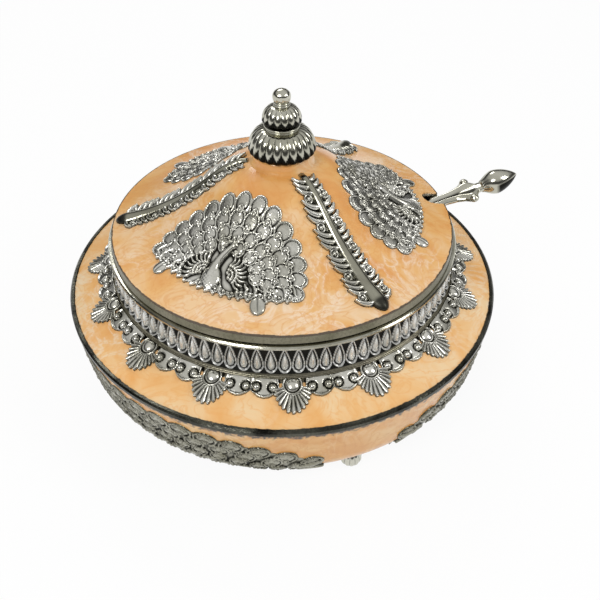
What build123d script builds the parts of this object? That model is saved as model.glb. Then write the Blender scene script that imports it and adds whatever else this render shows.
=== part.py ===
from build123d import *
import math
import os

os.makedirs("parts", exist_ok=True)

# Bowl: its outline runs from the rim down the side, round the hip and in to the base
foot_clear = 6.0
bowl_depth = 49.0
rim_r = 115.0
side_lean = 5.0
hip_rise = 11.7
hip_fillet = 16.0
base_r = 62.0
base_fillet = 10.0
bowl_wall = 1.5

# Enamel laid on the metal, and the seam between two layers that lie on each other
enamel_t = 0.8
seam = 0.05
bowl_enamel_inner_r = 84.0

# Rim ring between the bowl and the brim
rim_ring_h = 3.5
rim_ring_below = 1.8
rim_ring_proud = 0.5
rim_ring_width = 5.0
rim_ledge_h = 0.9
rim_lip = 2.0
rim_bevel = 0.8

# Brim: a shallow cone that falls from the collar to the rim
brim_rise = 7.8
brim_inner_r = 93.0
brim_t = 1.0

# Collar that stands on the brim, with a rolled rim at its top
collar_inner_r = 85.5
collar_wall = 1.5
collar_h = 21.35
collar_foot = 2.0
collar_foot_w = 2.0
collar_rim_h = 2.1
collar_rim_proud = 4.0
collar_rim_bevel = 0.6

# Flange ring round the foot of the collar
flange_h = 6.4
flange_bead_r = 1.5
flange_proud = 0.15
flange_runs = 4

# Gallery strip of teardrops round the collar
strip_t = 1.1
drop_count = 90
drop_w = 5.9
drop_h = 12.2
drop_relief = 1.8
drop_border = 0.95
drop_point_border = 1.6
drop_heart_relief = 2.2
drop_heart_floor = 0.4
drop_heart_taper = 25.0
drop_sides = 5

# Fan border on the brim
fan_count = 16
fan_start_az = -86.0
fan_centre_r = 95.4
fan_reach = 10.2
fan_half_w = 7.9
fan_rays = 9
fan_notch = 1.4
fan_plate_t = 0.7
fan_ray_h = 1.5
fan_ray_w = 1.4
fan_ray_end = 0.6
fan_boss_r = 3.8
fan_boss_h = 2.4
fan_boss_taper = 35.0
fan_boss_sides = 10
fan_spread = 84.0
crescent_centre_r = 93.8
crescent_r = 5.1
crescent_h = 1.3
crescent_cut_shift = 1.2
crescent_cut_r = 3.2
crescent_sides = 12
crescent_turn = 7.8
pearl_r = 1.7
pearl_out = 3.4
pearl_down = 1.3
pearl_h = 2.2
pearl_sides = 6

# Lid: an ogee from the crown under the finial to the edge above the collar
lid_gap = 0.3
lid_band_h = 3.7
lid_edge_r = 88.5
lid_rise = 34.8
lid_crown_r = 16.0
crown_run = 18.4
crown_fall = 9.5
ogee_slope = 40.5
lid_wall = 1.5
lid_band_proud = 0.9
lid_band_lip = 1.5
lid_band_bevel = 0.5
lid_spigot_gap = 0.8
lid_spigot_t = 1.2
lid_spigot_h = 5.5

# Ribs down the lid, one between each two peacock panels
rib_count = 3
rib_start_az = -56.0
rib_inner_r = 17.0
rib_outer_r = 85.0
rib_inner_w = 3.2
rib_outer_w = 7.6
rib_relief = 2.8
rib_margin = 1.0
leaf_relief = 1.3
leaf_pitch = 4.6
leaf_length = 7.4
leaf_tip = 2.2
leaf_w = 3.6
leaf_lean = 38.0
leaf_inner_r = 20.0
leaf_outer_r = 79.0

# Peacock panels on the lid: a displayed tail with the bird in front of it
panel_az = -116.0
tail_half_w = 40.0
tail_half_h = 32.5
tail_centre_r = 60.0
panel_outer_r = 74.0
tail_relief = 0.9
edge_lobe_r = 3.1
edge_lobes = 15
eye_relief = 1.7
eye_r = 2.4
eye_sides = 6
eye_count = 12
eye_rows = 3
eye_first_inset = 3.4
eye_row_pitch = 8.6
eyes_fewer = 3
eye_border = 3.1
bird_relief = 2.4
bird_r = 66.0
bird_body = (7.5, 5.5)
bird_neck = (7.0, 2.0)
bird_neck_up = 11.0
bird_head = (2.6, 2.4)
bird_head_up = 18.0

# Peacock-feather panels round the bowl
bowl_panel_az = -129.0
bowl_panel_inner_r = 86.0
bowl_panel_half_angle = 54.0
bowl_panel_relief = 1.1
bowl_panel_foot_drop = 29.0
lobe_r = 6.4
lobe_pitch_angle = 6.4
lobe_drop = 10.2
lobe_side_drop = 7.0
lobes_across = 11
lobe_sides_down = 2
lobe_sides = 8

# Feet and the screws that hold them
foot_count = 3
foot_start_az = -68.0
foot_r = 94.9
foot_ball_r = 5.75
foot_pad_cut = 0.5
foot_neck_r = 3.4
foot_flutes = 8
foot_top_angle = 64.0
foot_levels = 4
screw_r = 1.4
screw_fit = 0.1
screw_depth = 6.5
screw_head_r = 2.8
screw_head_h = 1.8

# Finial: pieces stacked on a threaded stud
stud_r = 2.0
stud_fit = 0.1
finial_base_h = 1.6
finial_base_bevel = 0.7
lower_bulb_r = 16.7
lower_bulb_h = 11.4
lower_bulb_foot_r = 11.2
lower_bulb_neck_r = 7.0
lower_flutes = 18
rings_r = 8.6
rings_h = 3.1
ring_sides = 8
upper_bulb_r = 9.3
upper_bulb_h = 10.6
upper_bulb_foot_r = 6.4
upper_bulb_neck_r = 3.3
upper_flutes = 12
flute_depth = 0.09
belly_share = 0.45
bulb_levels = 4
neck_ring_r = 3.6
neck_ring_h = 2.7
neck_ring_bevel = 0.9
tip_r = 4.3
tip_h = 7.9
tip_foot_r = 3.0
tip_end_r = 0.6
tip_flutes = 8
stud_in_tip = 4.7
washer_r = 6.0
washer_t = 0.8
nut_across = 7.0
nut_h = 3.2
stud_tail = 1.2

# Spoon, which leaves the box through a notch in the lid's edge
spoon_az = 12.75
spoon_slope = 16.6
shaft_t = 3.0
shaft_rest_gap = 0.3
shaft_inner_w = 6.0
shaft_exit_w = 8.0
shoulder_w = 19.0
shoulder_out = 19.0
shoulder_flare = 6.0
neck_out = 25.5
neck_w = 6.2
neck_lap = 1.5
flare_run = 20.0
bud_length = 21.5
bud_r = 6.6
bud_levels = 5
bend_in = 7.0
bend_fillet = 30.0
spoon_bowl_length = 44.0
spoon_bowl_w = 32.0
spoon_bowl_depth = 9.0
spoon_floor_length = 24.0
spoon_floor_w = 16.0
spoon_bowl_wall = 1.2
spoon_bowl_tilt = 15.0
spoon_bowl_r = -8.0
spoon_floor_gap = 0.3
notch_depth = 9.5
notch_gap = 1.4

# Heights and radii that follow from the sizes above
rim_z = foot_clear + bowl_depth
hip_r = rim_r - side_lean
hip_z = foot_clear + hip_rise
shell_inset = enamel_t + seam
bowl_inner_inset = shell_inset + bowl_wall
rim_ring_z = rim_z - rim_ring_below
rim_ring_top = rim_ring_z + rim_ring_h
rim_ring_outer_r = rim_r + rim_ring_proud
rim_step_r = rim_ring_outer_r - rim_lip
brim_outer_r = rim_step_r - seam
brim_z = rim_ring_z + rim_ledge_h + seam + brim_t
brim_inner_z = brim_z + brim_rise
collar_outer_r = collar_inner_r + collar_wall
collar_z = brim_inner_z - collar_foot
collar_top = brim_inner_z + collar_h
collar_rim_z = collar_top - collar_rim_h
strip_outer_r = collar_outer_r + seam + strip_t
flange_outer_r = brim_inner_r + flange_proud
flange_top = brim_inner_z + seam + flange_h
lid_z = collar_top + lid_gap
lid_edge_z = lid_z + lid_band_h + seam + enamel_t
lid_crown_z = lid_edge_z + lid_rise
lid_shell_r = lid_edge_r - lid_band_lip
lid_under = enamel_t + seam + lid_wall
notch_r = collar_inner_r - (notch_depth - collar_wall)


def polar(radius, azimuth, height=0.0):
    """A point from its radius, its azimuth in degrees and its height."""
    angle = math.radians(azimuth)
    return Vector(radius * math.cos(angle), radius * math.sin(angle), height)


# A layer turned from this plane has its seam at the back, away from relief on the X axis
back_plane = Plane(origin=(0, 0, 0), x_dir=(-1, 0, 0), z_dir=(0, 1, 0))


def inward(start, end):
    """Unit normal of an outline's straight run, towards the inside of the vessel."""
    run = (end - start).normalized()
    return Vector(run.Y, -run.X)


def inset_corner(before, corner, after, inset):
    """A corner of an outline, moved so that both of its runs lie further in by inset."""
    first = inward(before, corner)
    second = inward(corner, after)
    return corner + (first + second) * (inset / (1 + first.dot(second)))


def bowl_line(inset):
    """The bowl's outline from the rim to the axis, moved in by inset."""
    rim = Vector(rim_r, rim_z)
    hip = Vector(hip_r, hip_z)
    base = Vector(base_r, foot_clear)
    axis = Vector(0, foot_clear)
    corners = [
        rim + inward(rim, hip) * inset,
        inset_corner(rim, hip, base, inset),
        inset_corner(hip, base, axis, inset),
        axis + Vector(0, inset),
    ]
    return FilletPolyline(*corners, radius=[hip_fillet - inset, base_fillet - inset])


def bowl_layer(outer, inner, plane=Plane.XZ):
    """The section between the bowl's outline at two insets, ready to revolve."""
    with BuildSketch(plane) as section:
        with BuildLine():
            outside = bowl_line(outer)
            inside = bowl_line(inner)
            Line(outside @ 0, inside @ 0)
            Line(outside @ 1, inside @ 1)
        make_face()
    return section.sketch


def lid_line(drop):
    """The lid's ogee from the axis to the edge, lowered by drop: two tangent arcs."""
    crown = Vector(0, lid_crown_z - drop)
    shoulder = Vector(lid_crown_r, lid_crown_z - drop)
    turn = shoulder + Vector(crown_run, -crown_fall)
    edge = Vector(lid_edge_r, lid_edge_z - drop)
    steepest = Vector(1, 0).rotate(Axis.Z, -ogee_slope)
    Line(crown, shoulder)
    TangentArc(turn, shoulder, tangent=-steepest)
    TangentArc(turn, edge, tangent=steepest)
    return crown, edge


def lid_layer(upper, lower, plane=Plane.XZ):
    """The section between the lid's ogee at two drops, ready to revolve."""
    with BuildSketch(plane) as section:
        with BuildLine():
            top_crown, top_edge = lid_line(upper)
            low_crown, low_edge = lid_line(lower)
            Line(top_crown, low_crown)
            Line(top_edge, low_edge)
        make_face()
    return section.sketch


def ring_section(*points):
    """A closed straight-sided section of a turned ring."""
    with BuildSketch(Plane.XZ) as section:
        Polygon(*points, align=None)
    return section.sketch


def drop_outline(width, height):
    """A teardrop: a circle drawn out to a point by its two tangents."""
    radius = width / 2
    lean = math.acos(radius / (height - radius))
    sweep_angle = 2 * math.pi - 2 * lean
    points = [(0.0, height - radius)]
    for step in range(drop_sides + 1):
        angle = math.pi / 2 - lean - sweep_angle * step / drop_sides
        points.append((radius * math.cos(angle), radius * math.sin(angle)))
    return points


def star_outline(radius, flutes):
    """Corners of a fluted section: a crest and a valley for each flute."""
    points = []
    for flute in range(flutes):
        points.append(polar(radius, 360 * flute / flutes))
        points.append(polar(radius * (1 - flute_depth), 360 * (flute + 0.5) / flutes))
    return points


def belly_levels(height, foot_r, belly_r, neck_r, runs):
    """Heights and radii of an egg-shaped piece, by two quarter ovals at its belly."""
    levels = []
    for run in range(2 * runs + 1):
        angle = math.radians(90 * (run / runs - 1))
        if run < runs:
            rise = belly_share * height * (1 + math.sin(angle))
            radius = foot_r + (belly_r - foot_r) * math.cos(angle)
        else:
            rise = height * (belly_share + (1 - belly_share) * math.sin(angle))
            radius = neck_r + (belly_r - neck_r) * math.cos(angle)
        levels.append((rise, radius))
    return levels


def fluted_piece(levels, flutes, plane):
    """A fluted piece that stands on a plane, lofted through its levels."""
    with BuildPart() as piece:
        for rise, radius in levels:
            with BuildSketch(plane.offset(rise)):
                Polygon(*star_outline(radius, flutes), align=None)
        loft(ruled=True)
    return piece.part


def brim_surface_z(radius):
    """Height of the enamel's upper face on the brim at a radius."""
    share = (radius - brim_inner_r) / (brim_outer_r - brim_inner_r)
    return brim_inner_z + share * (brim_z - brim_inner_z) + seam + enamel_t


brim_fall = math.atan2(brim_rise, brim_outer_r - brim_inner_r)


# Bowl shell
feet_az = [foot_start_az + 360 / foot_count * n for n in range(foot_count)]
underside_up = inward(Vector(hip_r, hip_z), Vector(base_r, foot_clear))
foot_z = foot_clear + hip_rise * (foot_r - base_r) / (hip_r - base_r)


def foot_axis(azimuth):
    """The line square to the bowl's underside where a foot stands, pointing down."""
    out = polar(1, azimuth)
    down = out * -underside_up.X + Vector(0, 0, -underside_up.Y)
    return Axis(polar(foot_r, azimuth, foot_z), down)


def foot_section(azimuth):
    """Upright plane through a foot's axis: its y runs down the axis from the bowl."""
    axis = foot_axis(azimuth)
    side = polar(1, azimuth + 90)
    return Plane(origin=axis.position, x_dir=side, z_dir=side.cross(axis.direction))


def foot_bore(azimuth):
    """Plane across a foot's axis at the bowl's underside."""
    axis = foot_axis(azimuth)
    return Plane(origin=axis.position, z_dir=axis.direction)


bowl_top = rim_ring_z - seam

with BuildPart() as bowl_shell:
    revolve(bowl_layer(shell_inset, bowl_inner_inset), axis=Axis.Z)
    split(bisect_by=Plane.XY.offset(bowl_top), keep=Keep.BOTTOM)
    with Locations(*[foot_bore(azimuth) for azimuth in feet_az]):
        Cylinder(screw_r + screw_fit, 4 * bowl_inner_inset, mode=Mode.SUBTRACT)
bowl_shell.part.label = "bowl_shell"
export_step(bowl_shell.part, "parts/bowl_shell.step")

# Enamel coat on the side of the bowl
with BuildPart() as bowl_enamel:
    revolve(bowl_layer(0, enamel_t), axis=Axis.Z)
    split(bisect_by=Plane.XY.offset(bowl_top), keep=Keep.BOTTOM)
    Cylinder(bowl_enamel_inner_r, 2 * rim_z, mode=Mode.SUBTRACT)
    with Locations(*[foot_bore(azimuth) for azimuth in feet_az]):
        Cylinder(foot_neck_r + seam, 4 * enamel_t, mode=Mode.SUBTRACT)
bowl_enamel.part.label = "bowl_enamel"
export_step(bowl_enamel.part, "parts/bowl_enamel.step")

# Feet: fluted balls with a neck that seats on the shell, and a flat pad on the table
foot_ball_z = foot_ball_r - foot_pad_cut
foot_drop = (foot_z - foot_ball_z) / underside_up.Y
foot_seat = -shell_inset + seam
pad_angle = math.degrees(math.asin(foot_ball_z / foot_ball_r))
foot_angles = [
    foot_top_angle * step / foot_levels - pad_angle * (1 - step / foot_levels)
    for step in range(foot_levels + 1)
]
foot_ball_levels = [
    (foot_ball_z + foot_ball_r * math.sin(math.radians(angle)),
     foot_ball_r * math.cos(math.radians(angle)))
    for angle in foot_angles
]

for number, azimuth in enumerate(feet_az, start=1):
    bore = foot_bore(azimuth)
    centre = bore.origin + bore.z_dir * foot_drop
    below = Plane(origin=(centre.X, centre.Y, 0), x_dir=polar(1, azimuth), z_dir=(0, 0, 1))
    with BuildPart() as foot:
        add(fluted_piece(foot_ball_levels, foot_flutes, below))
        with BuildSketch(bore.offset(foot_seat)) as neck:
            Circle(foot_neck_r)
        extrude(neck.sketch, amount=foot_drop - foot_seat)
        with BuildSketch(bore.offset(foot_seat)) as hole:
            Circle(screw_r + screw_fit)
        extrude(hole.sketch, amount=screw_depth - foot_seat, mode=Mode.SUBTRACT)
    foot.part.label = f"foot_{number}"
    export_step(foot.part, f"parts/foot_{number}.step")

# Foot screws, driven from inside the bowl
head_seat = -bowl_inner_inset - seam
screw_tip = screw_depth - screw_fit

with BuildPart() as foot_screws:
    for azimuth in feet_az:
        with BuildSketch(foot_section(azimuth)) as screw_half:
            Polygon(
                (0, head_seat - screw_head_h),
                (screw_head_r, head_seat - screw_head_h),
                (screw_head_r, head_seat),
                (screw_r, head_seat),
                (screw_r, screw_tip),
                (0, screw_tip),
                align=None,
            )
        revolve(screw_half.sketch, axis=foot_axis(azimuth))
foot_screws.part.label = "foot_screws"
export_step(foot_screws.part, "parts/foot_screws.step")

# Rim ring: seats on the bowl and carries the brim's edge on a ledge
with BuildPart() as rim_ring:
    with BuildSketch(Plane.XZ) as rim_half:
        Polygon(
            (rim_ring_outer_r - rim_ring_width, rim_ring_z),
            (rim_ring_outer_r, rim_ring_z),
            (rim_ring_outer_r, rim_ring_top),
            (rim_step_r, rim_ring_top),
            (rim_step_r, rim_ring_z + rim_ledge_h),
            (rim_ring_outer_r - rim_ring_width, rim_ring_z + rim_ledge_h),
            align=None,
        )
        chamfer(rim_half.vertices().group_by(Axis.X)[-1], length=rim_bevel)
    revolve(axis=Axis.Z)
rim_ring.part.label = "rim_ring"
export_step(rim_ring.part, "parts/rim_ring.step")

# Brim plate: a cone with a level land for the flange ring
with BuildPart() as brim_plate:
    revolve(
        ring_section(
            (collar_outer_r + seam, brim_inner_z),
            (brim_inner_r, brim_inner_z),
            (brim_outer_r, brim_z),
            (brim_outer_r, brim_z - brim_t),
            (brim_inner_r, brim_inner_z - brim_t),
            (collar_outer_r + seam, brim_inner_z - brim_t),
        ),
        axis=Axis.Z,
    )
brim_plate.part.label = "brim_plate"
export_step(brim_plate.part, "parts/brim_plate.step")

# Enamel coat on the brim
brim_enamel_inner_r = flange_outer_r + seam

with BuildPart() as brim_enamel:
    revolve(
        ring_section(
            (brim_enamel_inner_r, brim_surface_z(brim_enamel_inner_r)),
            (brim_outer_r, brim_surface_z(brim_outer_r)),
            (brim_outer_r, brim_surface_z(brim_outer_r) - enamel_t),
            (brim_enamel_inner_r, brim_surface_z(brim_enamel_inner_r) - enamel_t),
        ),
        axis=Axis.Z,
    )
brim_enamel.part.label = "brim_enamel"
export_step(brim_enamel.part, "parts/brim_enamel.step")

# Collar with its rolled rim and a foot flange under the brim
with BuildPart() as collar:
    with BuildSketch(Plane.XZ) as collar_half:
        Polygon(
            (collar_inner_r, collar_z),
            (collar_outer_r + collar_foot_w, collar_z),
            (collar_outer_r + collar_foot_w, brim_inner_z - brim_t - seam),
            (collar_outer_r, brim_inner_z - brim_t - seam),
            (collar_outer_r, collar_rim_z),
            (collar_outer_r + collar_rim_proud, collar_rim_z),
            (collar_outer_r + collar_rim_proud, collar_top),
            (collar_inner_r, collar_top),
            align=None,
        )
        chamfer(collar_half.vertices().group_by(Axis.X)[-1], length=collar_rim_bevel)
    revolve(axis=Axis.Z)
collar.part.label = "collar"
export_step(collar.part, "parts/collar.step")

# Flange ring: a cove that ends in a round bead, both in short straight runs
flange_z = brim_inner_z + seam
bead_r = flange_outer_r - flange_bead_r
cove_r = strip_outer_r + seam
bead_top = flange_z + 2 * flange_bead_r
quarter = [math.radians(90 * run / flange_runs) for run in range(flange_runs + 1)]
half_turn = [2 * angle for angle in quarter[1:]]
flange_points = [(collar_outer_r + seam, flange_z), (collar_outer_r + seam, flange_top)]
for angle in quarter:
    flange_points.append((
        cove_r + (bead_r - cove_r) * (1 - math.cos(angle)),
        flange_top - (flange_top - bead_top) * math.sin(angle),
    ))
for angle in half_turn:
    flange_points.append((
        bead_r + flange_bead_r * math.sin(angle),
        flange_z + flange_bead_r * (1 + math.cos(angle)),
    ))

with BuildPart() as collar_flange:
    revolve(ring_section(*flange_points), axis=Axis.Z)
collar_flange.part.label = "collar_flange"
export_step(collar_flange.part, "parts/collar_flange.step")

# Gallery strip: a band with a row of bordered teardrops, points up
strip_low = flange_top + seam
strip_high = collar_rim_z - seam
drop_tip_z = strip_high
drop_plane = Plane(
    origin=(strip_outer_r - strip_t / 2, 0, drop_tip_z - (drop_h - drop_w / 2)),
    x_dir=(0, 1, 0),
    z_dir=(1, 0, 0),
)
heart_w = drop_w - 2 * drop_border
heart_h = drop_h - drop_border - drop_point_border
field_t = strip_t / 2

with BuildPart() as one_drop:
    with BuildSketch(drop_plane):
        Polygon(*drop_outline(drop_w, drop_h), align=None)
    extrude(amount=field_t + drop_relief)
    with BuildSketch(drop_plane.offset(field_t + drop_heart_floor)):
        Polygon(*drop_outline(heart_w, heart_h), align=None)
    extrude(amount=drop_relief, mode=Mode.SUBTRACT)
    with BuildSketch(drop_plane.offset(field_t)):
        Polygon(*drop_outline(heart_w - drop_border, heart_h - drop_point_border), align=None)
    extrude(amount=drop_heart_relief, taper=drop_heart_taper)

with BuildPart() as teardrop_gallery:
    with BuildSketch(Plane.XY.offset(strip_low)):
        with Locations(Rotation(0, 0, 180 / drop_count)):
            RegularPolygon(strip_outer_r, drop_count)
        Circle(collar_outer_r + seam, mode=Mode.SUBTRACT)
    extrude(amount=strip_high - strip_low)
    with PolarLocations(0, drop_count):
        add(one_drop.part)
teardrop_gallery.part.label = "teardrop_gallery"
export_step(teardrop_gallery.part, "parts/teardrop_gallery.step")

# Fan border: each fan is a thin notched plate with a half boss and raised rays
ray_step = 2 * fan_spread / (fan_rays - 1)
ray_angles = [90 - fan_spread + ray_step * n for n in range(fan_rays)]


def brim_spot(radius):
    """Plane that lies on the brim's enamel at a radius: its y runs down the slope."""
    square = Vector(math.sin(brim_fall), 0, math.cos(brim_fall))
    return Plane(origin=(radius, 0, brim_surface_z(radius) + seam), x_dir=(0, -1, 0), z_dir=square)


def beyond_flange(radius):
    """Keeps what a sketch on the brim has outside the flange ring."""
    back = (radius - flange_outer_r - 2 * seam) / math.cos(brim_fall)
    with Locations((0, -back)):
        Rectangle(rim_r, rim_r, align=(Align.CENTER, Align.MIN), mode=Mode.INTERSECT)


def ray_reach(angle):
    """Length of a ray from the boss's centre: longest straight down the slope."""
    share = math.sin(math.radians(angle)) ** 2
    return fan_half_w + (fan_reach - fan_half_w) * share


def fan_outline():
    """Corners of a fan: a tip at each ray and a notch between two rays."""
    points = [polar(ray_reach(ray_angles[0]), ray_angles[0])]
    for angle in ray_angles[1:]:
        between = angle - ray_step / 2
        points.append(polar(ray_reach(between) - fan_notch, between))
        points.append(polar(ray_reach(angle), angle))
    return points


fan_plane = brim_spot(fan_centre_r)
ray_plane = fan_plane.offset(fan_plate_t / 2)

with BuildPart() as one_fan:
    with BuildSketch(fan_plane):
        Polygon(*fan_outline(), align=None)
        RegularPolygon(fan_boss_r, fan_boss_sides)
        beyond_flange(fan_centre_r)
    extrude(amount=fan_plate_t)
    with BuildSketch(ray_plane):
        for angle in ray_angles:
            with Locations(Rotation(0, 0, angle)):
                Polygon(
                    (fan_boss_r / 2, 0),
                    (ray_reach(angle) - fan_ray_end, -fan_ray_w / 2),
                    (ray_reach(angle) - fan_ray_end, fan_ray_w / 2),
                    align=None,
                )
    extrude(amount=fan_ray_h - fan_plate_t / 2)
    with BuildSketch(ray_plane):
        RegularPolygon(fan_boss_r, fan_boss_sides)
        beyond_flange(fan_centre_r)
    extrude(amount=fan_boss_h, taper=fan_boss_taper)

with BuildPart() as brim_fans:
    with PolarLocations(0, fan_count, start_angle=fan_start_az):
        add(one_fan.part)
brim_fans.part.label = "brim_fans"
export_step(brim_fans.part, "parts/brim_fans.step")

# Crescents, two between neighbouring fans, each with a pearl at both horns
crescent_plane = brim_spot(crescent_centre_r)

with BuildPart() as one_crescent:
    with BuildSketch(crescent_plane):
        RegularPolygon(crescent_r, crescent_sides)
        with Locations((0, -crescent_cut_shift)):
            RegularPolygon(crescent_cut_r, crescent_sides, mode=Mode.SUBTRACT)
        beyond_flange(crescent_centre_r)
    extrude(amount=crescent_h)
    with BuildSketch(crescent_plane):
        with Locations((-pearl_out, pearl_down), (pearl_out, pearl_down)):
            RegularPolygon(pearl_r, pearl_sides)
    extrude(amount=pearl_h)

with BuildPart() as brim_crescents:
    with PolarLocations(0, fan_count, start_angle=fan_start_az + crescent_turn):
        add(one_crescent.part)
    with PolarLocations(0, fan_count, start_angle=fan_start_az - crescent_turn):
        add(one_crescent.part)
brim_crescents.part.label = "brim_crescents"
export_step(brim_crescents.part, "parts/brim_crescents.step")

# Lid shell with the hole for the finial's stud and the spoon's notch
notch_w = shaft_exit_w + 2 * notch_gap


def cut_notch():
    """Cuts the spoon's notch, round at its inner end, through the lid's edge."""
    with BuildSketch() as notch:
        with Locations(Rotation(0, 0, spoon_az)):
            with Locations((notch_r + notch_w / 2, 0)):
                Circle(notch_w / 2)
            with Locations((notch_r + notch_w / 2 + rim_r / 2, 0)):
                Rectangle(rim_r, notch_w)
    extrude(notch.sketch, amount=2 * lid_crown_z, mode=Mode.SUBTRACT)


with BuildPart() as lid_shell:
    revolve(lid_layer(enamel_t + seam, lid_under), axis=Axis.Z)
    Cylinder(lid_shell_r, 4 * lid_crown_z, mode=Mode.INTERSECT)
    Cylinder(stud_r + stud_fit, 4 * lid_crown_z, mode=Mode.SUBTRACT)
    cut_notch()
lid_shell.part.label = "lid_shell"
export_step(lid_shell.part, "parts/lid_shell.step")

# Enamel coat on the lid, round the finial's base
with BuildPart() as lid_enamel:
    revolve(lid_layer(0, enamel_t), axis=Axis.Z)
    Cylinder(lid_crown_r + seam, 4 * lid_crown_z, mode=Mode.SUBTRACT)
    cut_notch()
lid_enamel.part.label = "lid_enamel"
export_step(lid_enamel.part, "parts/lid_enamel.step")

# Band round the lid's edge, with the ledge under the shell and the spigot in the collar
shell_foot_z = lid_edge_z - lid_under
spigot_outer_r = collar_inner_r - lid_spigot_gap
spigot_inner_r = spigot_outer_r - lid_spigot_t
band_top = lid_edge_z - enamel_t - seam

with BuildPart() as lid_band:
    with BuildSketch(Plane.XZ) as band_half:
        Polygon(
            (spigot_inner_r, lid_z - lid_spigot_h),
            (spigot_outer_r, lid_z - lid_spigot_h),
            (spigot_outer_r, lid_z),
            (lid_edge_r + lid_band_proud, lid_z),
            (lid_edge_r, band_top),
            (lid_shell_r + seam, band_top),
            (lid_shell_r + seam, shell_foot_z - seam),
            (spigot_inner_r, shell_foot_z - seam),
            align=None,
        )
        chamfer(band_half.vertices().group_by(Axis.X)[-1], length=lid_band_bevel)
    revolve(axis=Axis.Z)
    cut_notch()
lid_band.part.label = "lid_band"
export_step(lid_band.part, "parts/lid_band.step")


def over_lid(relief, start=seam):
    """Keeps of the solids made so far what lies on the lid, from a start to a relief."""
    revolve(lid_layer(-relief, -start, back_plane), axis=Axis.Z, mode=Mode.INTERSECT)


# Leafy ribs: a plate cut into leaves along both sides, and a spine with a round end
leaf_rows = int((leaf_outer_r - leaf_inner_r) / leaf_pitch) + 1


def rib_outline(margin):
    """The spine's plan, wider by margin: it widens from the crown to its round end."""
    end_r = rib_outer_w / 2 + margin
    end_x = rib_outer_r - rib_outer_w / 2
    start_y = rib_inner_w / 2 + margin
    Polyline((end_x, -end_r), (rib_inner_r, -start_y), (rib_inner_r, start_y), (end_x, end_r))
    ThreePointArc((end_x, end_r), (end_x + end_r, 0), (end_x, -end_r))


with BuildPart() as rib_spine:
    with BuildSketch():
        with BuildLine():
            rib_outline(0)
        make_face()
    extrude(amount=2 * lid_crown_z)
    over_lid(rib_relief, leaf_relief / 2)

with BuildPart() as one_rib:
    with BuildSketch():
        with BuildLine():
            rib_outline(rib_margin)
        make_face()
        for row in range(leaf_rows):
            station = leaf_inner_r + leaf_pitch * row
            for side in (1, -1):
                with Locations(Location((station, 0, 0), (0, 0, side * (90 - leaf_lean)))):
                    Polygon(
                        (0, -side * leaf_w / 2),
                        (leaf_length - leaf_tip, -side * leaf_w / 2),
                        (leaf_length, 0),
                        (0, side * leaf_w / 2),
                        align=None,
                    )
    extrude(amount=2 * lid_crown_z)
    over_lid(leaf_relief)
    add(rib_spine.part)

for number in range(rib_count):
    azimuth = rib_start_az + 360 / rib_count * number
    with BuildPart() as lid_rib:
        with Locations(Rotation(0, 0, azimuth)):
            add(one_rib.part)
    lid_rib.part.label = f"lid_rib_{number + 1}"
    export_step(lid_rib.part, f"parts/lid_rib_{number + 1}.step")

# Peacock panels: the spread tail with rows of feather eyes, and the bird before it
def tail_point(angle, inset):
    """A point inside the tail's oval by inset; 90 degrees is the crown side."""
    across = (tail_half_w - inset) * math.cos(math.radians(angle))
    along = (tail_half_h - inset) * math.sin(math.radians(angle))
    return (tail_centre_r - along, across)


def spread(count):
    """Angles of a number of feathers spread evenly over the half oval."""
    return [180 * (n + 0.5) / count for n in range(count)]


with BuildPart() as tail_eyes:
    with BuildSketch():
        for row in range(eye_rows):
            inset = eye_first_inset + eye_row_pitch * row
            for angle in spread(eye_count - eyes_fewer * row):
                with Locations(tail_point(angle, inset)):
                    RegularPolygon(eye_r, eye_sides)
        Circle(panel_outer_r - eye_border, mode=Mode.INTERSECT)
    extrude(amount=2 * lid_crown_z)
    over_lid(eye_relief, tail_relief / 2)

with BuildPart() as bird:
    with BuildSketch():
        with Locations((bird_r, 0)):
            Ellipse(*bird_body)
        with Locations((bird_r - bird_neck_up, 0)):
            Ellipse(*bird_neck)
        with Locations((bird_r - bird_head_up, 0)):
            Ellipse(*bird_head)
    extrude(amount=2 * lid_crown_z)
    over_lid(bird_relief, tail_relief / 2)

with BuildPart() as one_peacock:
    with BuildSketch():
        with Locations((tail_centre_r, 0)):
            Ellipse(tail_half_h - edge_lobe_r, tail_half_w - edge_lobe_r)
        for angle in spread(edge_lobes):
            with Locations(tail_point(angle, edge_lobe_r)):
                RegularPolygon(edge_lobe_r, lobe_sides)
        Circle(panel_outer_r, mode=Mode.INTERSECT)
    extrude(amount=2 * lid_crown_z)
    over_lid(tail_relief)
    add(tail_eyes.part)
    add(bird.part)

for number in range(rib_count):
    azimuth = panel_az + 360 / rib_count * number
    with BuildPart() as lid_peacock:
        with Locations(Rotation(0, 0, azimuth)):
            add(one_peacock.part)
    lid_peacock.part.label = f"lid_peacock_{number + 1}"
    export_step(lid_peacock.part, f"parts/lid_peacock_{number + 1}.step")

# Feather panels round the bowl: scalloped lobes that run under the hip
bowl_far_r = 1.5 * rim_r
lobe_z = rim_z - lobe_drop


def sector(half_angle):
    """A plan sector about the X axis, from the panel's inner radius outwards."""
    start = polar(bowl_panel_inner_r, -half_angle)
    far_start = polar(bowl_far_r, -half_angle)
    far_end = polar(bowl_far_r, half_angle)
    end = polar(bowl_panel_inner_r, half_angle)
    with BuildSketch() as plan:
        with BuildLine():
            Line(start, far_start)
            ThreePointArc(far_start, (bowl_far_r, 0), far_end)
            Line(far_end, end)
            ThreePointArc(end, (bowl_panel_inner_r, 0), start)
        make_face()
    return plan.sketch


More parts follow.
